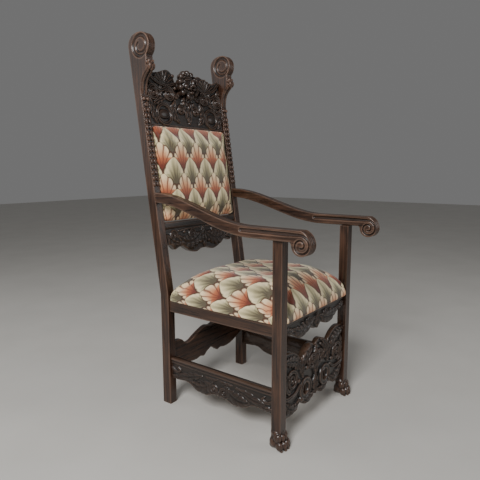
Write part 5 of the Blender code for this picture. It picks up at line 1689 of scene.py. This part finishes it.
@dataclass
class Pads:
    """The upholstered seat and back, swelled by a cloth simulation and covered in palmette cloth."""

    seat_edge: float = 0.050
    seat_crown: float = 0.066
    seat_bulge: float = 0.004
    overhang: float = 0.008
    corner: float = 0.022
    back_bottom: float = 0.735
    back_top: float = 1.113
    back_proud: float = 0.008
    back_crown: float = 0.013
    back_depth: float = 0.022
    clearance: float = 0.0015
    voxel: float = 0.0058
    swell: float = 0.014
    pressure: float = 4.0
    stiffness: float = 25.0
    moments: int = 20
    cells: int = 48
    seat_shift: tuple[float, float] = (0.022, 0.010)
    back_shift: float = -0.0257
    top_row: float = 1.045

    def form(self, low: tuple[float, float], high: tuple[float, float], heights: tuple[float, float],
             squareness: float, depth: float) -> bpy.types.Mesh:
        """A crowned closed form with round corners, its front towards -Y.

        Args:
            low: the lowest corner, as (x, z).
            high: the highest corner.
            heights: the height of the rim and of the crown above it.
            squareness: how near the rim the crown spreads.
            depth: how far the back lies behind Y = 0.

        Returns:
            The mesh.
        """
        middle = [(a + b) / 2 for a, b in zip(low, high)]
        half = [(b - a) / 2 for a, b in zip(low, high)]
        count = self.cells

        def place(u: float, v: float) -> tuple[float, float]:
            """A place on the square -1 to 1, moved to the rounded rectangle.

            Args:
                u: its share across.
                v: its share up.

            Returns:
                The place in metres.
            """
            x, z = u * half[0], v * half[1]
            over = (abs(x) - half[0] + self.corner, abs(z) - half[1] + self.corner)
            if over[0] > 0 and over[1] > 0:
                scale = max(over) / max(math.hypot(*over), 1e-9)
                x = math.copysign(half[0] - self.corner + over[0] * scale, x)
                z = math.copysign(half[1] - self.corner + over[1] * scale, z)
            return x + middle[0], z + middle[1]

        def build(bm: bmesh.types.BMesh) -> None:
            """Adds its points and faces.

            Args:
                bm: what they are added to.
            """
            grid = []
            for i in range(count + 1):
                row = []
                for j in range(count + 1):
                    u, v = 2 * i / count - 1, 2 * j / count - 1
                    rim = math.sqrt(max(0.0, (1 - abs(u) ** 26) * (1 - abs(v) ** 26)))
                    lift = heights[0] * (0.42 + 0.58 * rim)
                    lift += heights[1] * (1 - abs(u) ** squareness) * (1 - abs(v) ** squareness)
                    x, z = place(u, v)
                    row.append(bm.verts.new((x, -lift, z)))
                grid.append(row)
            for i in range(count):
                for j in range(count):
                    bm.faces.new([grid[i][j], grid[i + 1][j], grid[i + 1][j + 1], grid[i][j + 1]])
            rim_edges = [edge for edge in bm.edges if edge.is_boundary]
            grown = bmesh.ops.extrude_edge_only(bm, edges=rim_edges)
            for vert in (item for item in grown["geom"] if isinstance(item, bmesh.types.BMVert)):
                vert.co.y = depth
            bmesh.ops.holes_fill(bm, edges=[edge for edge in bm.edges if edge.is_boundary])
        return drawn(build)

    def swelled(self, name: str, mesh: bpy.types.Mesh, held: Callable[[np.ndarray], np.ndarray],
                limit: Callable[[np.ndarray], np.ndarray]) -> bpy.types.Mesh:
        """Lets the stuffing push the cover out, as far as the frame lets it.

        Args:
            name: a name for the work object.
            mesh: the pad a little slack.
            held: which points stay where they are, from 0 to 1.
            limit: brings points back inside the room that the frame leaves.

        Returns:
            The swelled mesh, twice as fine.
        """
        skin = modified(mesh, ("REMESH", {"mode": "VOXEL", "voxel_size": self.voxel}))
        before, _ = read(skin)
        work = bpy.data.objects.new(name, skin)
        bpy.context.collection.objects.link(work)
        pins = work.vertex_groups.new(name="held")
        for index in np.nonzero(held(before) > 0.5)[0].tolist():
            pins.add([index], 1.0, "REPLACE")
        cloth = work.modifiers.new("Cloth", "CLOTH")
        cloth.settings.vertex_group_mass = "held"
        cloth.settings.use_pressure = True
        cloth.settings.uniform_pressure_force = self.pressure
        cloth.settings.effector_weights.gravity = 0.0
        cloth.settings.tension_stiffness = self.stiffness
        cloth.settings.compression_stiffness = self.stiffness
        cloth.settings.quality = 5
        cloth.collision_settings.use_collision = False
        stage = bpy.context.scene
        for moment in range(1, self.moments + 1):
            stage.frame_set(moment)
        grown = bpy.data.meshes.new_from_object(
            work.evaluated_get(bpy.context.evaluated_depsgraph_get()))
        bpy.data.objects.remove(work, do_unlink=True)
        stage.frame_set(1)
        after, _ = read(grown)
        moved = after - before
        length = np.linalg.norm(moved, axis=1)
        moved *= (np.minimum(length, self.swell) / np.maximum(length, 1e-9))[:, None]
        write(skin, limit(before + moved))
        fine = modified(skin, ("SUBSURF", {"levels": 1, "render_levels": 1}))
        spots, _ = read(fine)
        write(fine, limit(spots))
        return fine

    def mapped(self, mesh: bpy.types.Mesh, pattern: Callable[[np.ndarray, np.ndarray], np.ndarray]) -> None:
        """Lays the pattern on the cloth through a UV map, in metres.

        Args:
            mesh: the pad.
            pattern: gives each point's place on the cloth.
        """
        spots, normals = read(mesh)
        flat = pattern(spots, normals)
        layer = mesh.uv_layers.new(name="pattern")
        corners = np.empty(len(mesh.loops), dtype=np.int64)
        mesh.loops.foreach_get("vertex_index", corners)
        layer.data.foreach_set("uv", flat[corners].astype(np.float32).ravel())

    def seat(self) -> bpy.types.Object:
        """The seat pad, lying on the rails between the legs.

        Returns:
            The piece.
        """
        half = BENCH.front_width / 2 + self.seat_bulge
        back = BENCH.seat_depth - self.clearance
        mesh = self.form((-half + 0.004, -self.overhang + 0.004), (half - 0.004, back - 0.002),
                         (self.seat_edge, self.seat_crown), 5.0, 0.0)
        bottom = BENCH.rail_top + BENCH.gap
        mesh.transform(Matrix.Translation((0, 0, bottom)) @ Matrix.Rotation(-math.pi / 2, 4, "X"))
        inner = BENCH.front_width / 2 - BENCH.leg - self.clearance
        deep = BENCH.leg + self.clearance

        def limit(spots: np.ndarray) -> np.ndarray:
            """Keeps the pad on its rails, clear of the posts and round the front legs.

            Args:
                spots: the pad's points.

            Returns:
                The points, moved where they have to be.
            """
            kept = spots.copy()
            kept[:, 0] = np.clip(kept[:, 0], -half, half)
            kept[:, 1] = np.clip(kept[:, 1], -self.overhang, back)
            kept[:, 2] = np.clip(kept[:, 2], bottom, bottom + self.seat_edge + self.seat_crown + 0.006)
            across = np.abs(kept[:, 0]) - inner
            along = deep - kept[:, 1]
            corner = (across > 0) & (along > 0)
            sideways = corner & (across <= along)
            backwards = corner & (across > along)
            kept[sideways, 0] = np.sign(kept[sideways, 0]) * inner
            kept[backwards, 1] = deep
            return kept

        def held(spots: np.ndarray) -> np.ndarray:
            """The underside and the hem stay on the rails."""
            return (spots[:, 2] < bottom + 0.006).astype(float)

        mesh = modified(mesh, ("REMESH", {"mode": "VOXEL", "voxel_size": self.voxel}))
        spots, _ = read(mesh)
        write(mesh, limit(spots))
        mesh = self.swelled("seat_work", mesh, held, limit)
        spots, _ = read(mesh)
        write(mesh, limit(eased(mesh, spots, 2, 0.4)))

        def pattern(spots: np.ndarray, normals: np.ndarray) -> np.ndarray:
            """The cloth lies flat on top and hangs down over the edges.

            Args:
                spots: the pad's points.
                normals: their normals.

            Returns:
                Places on the cloth.
            """
            rim = bottom + self.seat_edge + 0.010
            drop = np.maximum(0.0, rim - spots[:, 2])
            flat = np.maximum(normals[:, 0] ** 2 + normals[:, 1] ** 2, 1e-6)
            across = spots[:, 0] + np.sign(spots[:, 0]) * drop * normals[:, 0] ** 2 / flat
            along = spots[:, 1] + np.sign(normals[:, 1]) * drop * normals[:, 1] ** 2 / flat
            return np.column_stack([across + self.seat_shift[0], along + self.seat_shift[1]])

        self.mapped(mesh, pattern)
        piece = set_down("seat_cushion", mesh, BENCH.upright(), PalmetteCloth().made(),
                         ["seat_pad"])
        return piece

    def back(self) -> bpy.types.Object:
        """The back pad between the posts.

        Returns:
            The piece.
        """
        half = BENCH.back_width / 2 - BENCH.post_width - self.clearance
        low, high = BENCH.up_rake(self.back_bottom), BENCH.up_rake(self.back_top)
        mesh = self.form((-half + 0.002, low + 0.002), (half - 0.002, high - 0.002),
                         (self.back_proud, self.back_crown), 2.5, self.back_depth)

        def limit(spots: np.ndarray) -> np.ndarray:
            """Keeps the pad between the posts, the crest and the lower rail.

            Args:
                spots: the pad's points.

            Returns:
                The points, moved where they have to be.
            """
            kept = spots.copy()
            kept[:, 0] = np.clip(kept[:, 0], -half, half)
            kept[:, 1] = np.clip(kept[:, 1], -0.030, self.back_depth)
            kept[:, 2] = np.clip(kept[:, 2], low, high)
            return kept

        def held(spots: np.ndarray) -> np.ndarray:
            """The back of the pad is nailed to its frame."""
            return (spots[:, 1] > 0.004).astype(float)

        mesh = self.swelled("back_work", mesh, held, limit)

        def pattern(spots: np.ndarray, normals: np.ndarray) -> np.ndarray:
            """The cloth lies flat, tips up, and wraps the edges.

            Args:
                spots: the pad's points.
                normals: their normals.

            Returns:
                Places on the cloth.
            """
            drop = np.maximum(0.0, spots[:, 1] + 0.004)
            across = spots[:, 0] + np.sign(spots[:, 0]) * drop * np.abs(normals[:, 0])
            top = BENCH.up_rake(self.top_row)
            return np.column_stack([across + self.back_shift, spots[:, 2] - top + 2 * PalmetteCloth.row])

        self.mapped(mesh, pattern)
        piece = set_down("back_cushion", mesh, BENCH.raked(), PalmetteCloth().made(),
                         ["back_pad"])
        return piece

    def dress(self) -> None:
        """Builds both pads in place."""
        self.seat()
        self.back()


@dataclass
class Studio:
    """A plain pale floor, soft light and the camera."""

    floor_colour: str = "#c9c6c0"
    floor_light: str = "#cfccc6"
    air: str = "#d9d9d9"
    air_strength: float = 0.24
    eye: tuple[float, float, float] = (-1.507, -1.071, 0.939)
    heading: float = 53.10
    tip: float = 8.57
    roll: float = -0.1
    lens: float = 35.14

    def floor(self) -> None:
        """A wide pale floor."""
        def build(bm: bmesh.types.BMesh) -> None:
            """Adds its points and faces.

            Args:
                bm: what they are added to.
            """
            bmesh.ops.create_grid(bm, x_segments=1, y_segments=1, size=12.0)
        mesh = drawn(build)
        material = bpy.data.materials.new("pale_floor_paint")
        material.use_nodes = True
        tree = material.node_tree
        shader = tree.nodes["Principled BSDF"]
        place = node(tree, "ShaderNodeTexCoord").outputs["Object"]
        cloud = node(tree, "ShaderNodeTexNoise",
                     {"Vector": place, "Scale": 3.0, "Detail": 4.0}).outputs["Fac"]
        tone = ramp(node(tree, "ShaderNodeValToRGB", {"Fac": cloud}),
                    (0.3, self.floor_colour), (0.7, self.floor_light))
        tree.links.new(tone, shader.inputs["Base Color"])
        shader.inputs["Roughness"].default_value = 0.7
        mesh.materials.append(material)
        piece = bpy.data.objects.new("floor", mesh)
        bpy.context.collection.objects.link(piece)

    def light(self, name: str, place: Sequence[float], aim: Sequence[float], size: float,
              power: float) -> None:
        """A soft square light at a place, aimed at a point.

        Args:
            name: its name.
            place: where it stands.
            aim: where it points.
            size: the side of its square.
            power: its watts.
        """
        lamp = bpy.data.lights.new(name, "AREA")
        lamp.size = size
        lamp.energy = power
        holder = bpy.data.objects.new(name, lamp)
        holder.location = place
        holder.rotation_euler = (Vector(aim) - Vector(place)).to_track_quat("-Z", "Y").to_euler()
        bpy.context.collection.objects.link(holder)

    def camera(self) -> None:
        """The camera at the photograph's place."""
        lens = bpy.data.cameras.new("camera")
        lens.lens = self.lens
        lens.sensor_width = 36.0
        lens.shift_x = -0.0031
        holder = bpy.data.objects.new("camera", lens)
        holder.location = self.eye
        turn = Matrix.Rotation(math.radians(-self.heading), 3, "Z") @ Matrix.Rotation(
            math.radians(90 - self.tip), 3, "X") @ Matrix.Rotation(math.radians(self.roll), 3, "Z")
        holder.rotation_euler = turn.to_euler()
        bpy.context.collection.objects.link(holder)
        bpy.context.scene.camera = holder

    def dress(self) -> None:
        """Sets up the studio."""
        self.floor()
        self.light("key", (-2.9, -0.9, 2.6), (0, 0, 0.8), 1.2, 135.0)
        self.light("fill", (1.6, -2.8, 1.6), (0, 0, 0.6), 2.0, 20.0)
        self.light("rim", (-1.6, 2.2, 2.0), (0, 0, 0.9), 2.4, 12.0)
        world = bpy.data.worlds.new("studio")
        world.use_nodes = True
        back = world.node_tree.nodes["Background"]
        back.inputs["Color"].default_value = linear(self.air)
        back.inputs["Strength"].default_value = self.air_strength
        bpy.context.scene.world = world
        self.camera()


def main() -> None:
    """Builds the throne's dress in order, and notes each part as it is done."""
    logging.basicConfig(level=logging.INFO, format="%(message)s")
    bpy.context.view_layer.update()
    for part in (Studio(), CarvedBack(), BackPosts(), Arms(), FrontLegs(), SeatFrame(), Stretchers(), Pads()):
        part.dress()
        LOG.info("%s done", type(part).__name__)


if __name__ == "__main__":
    main()
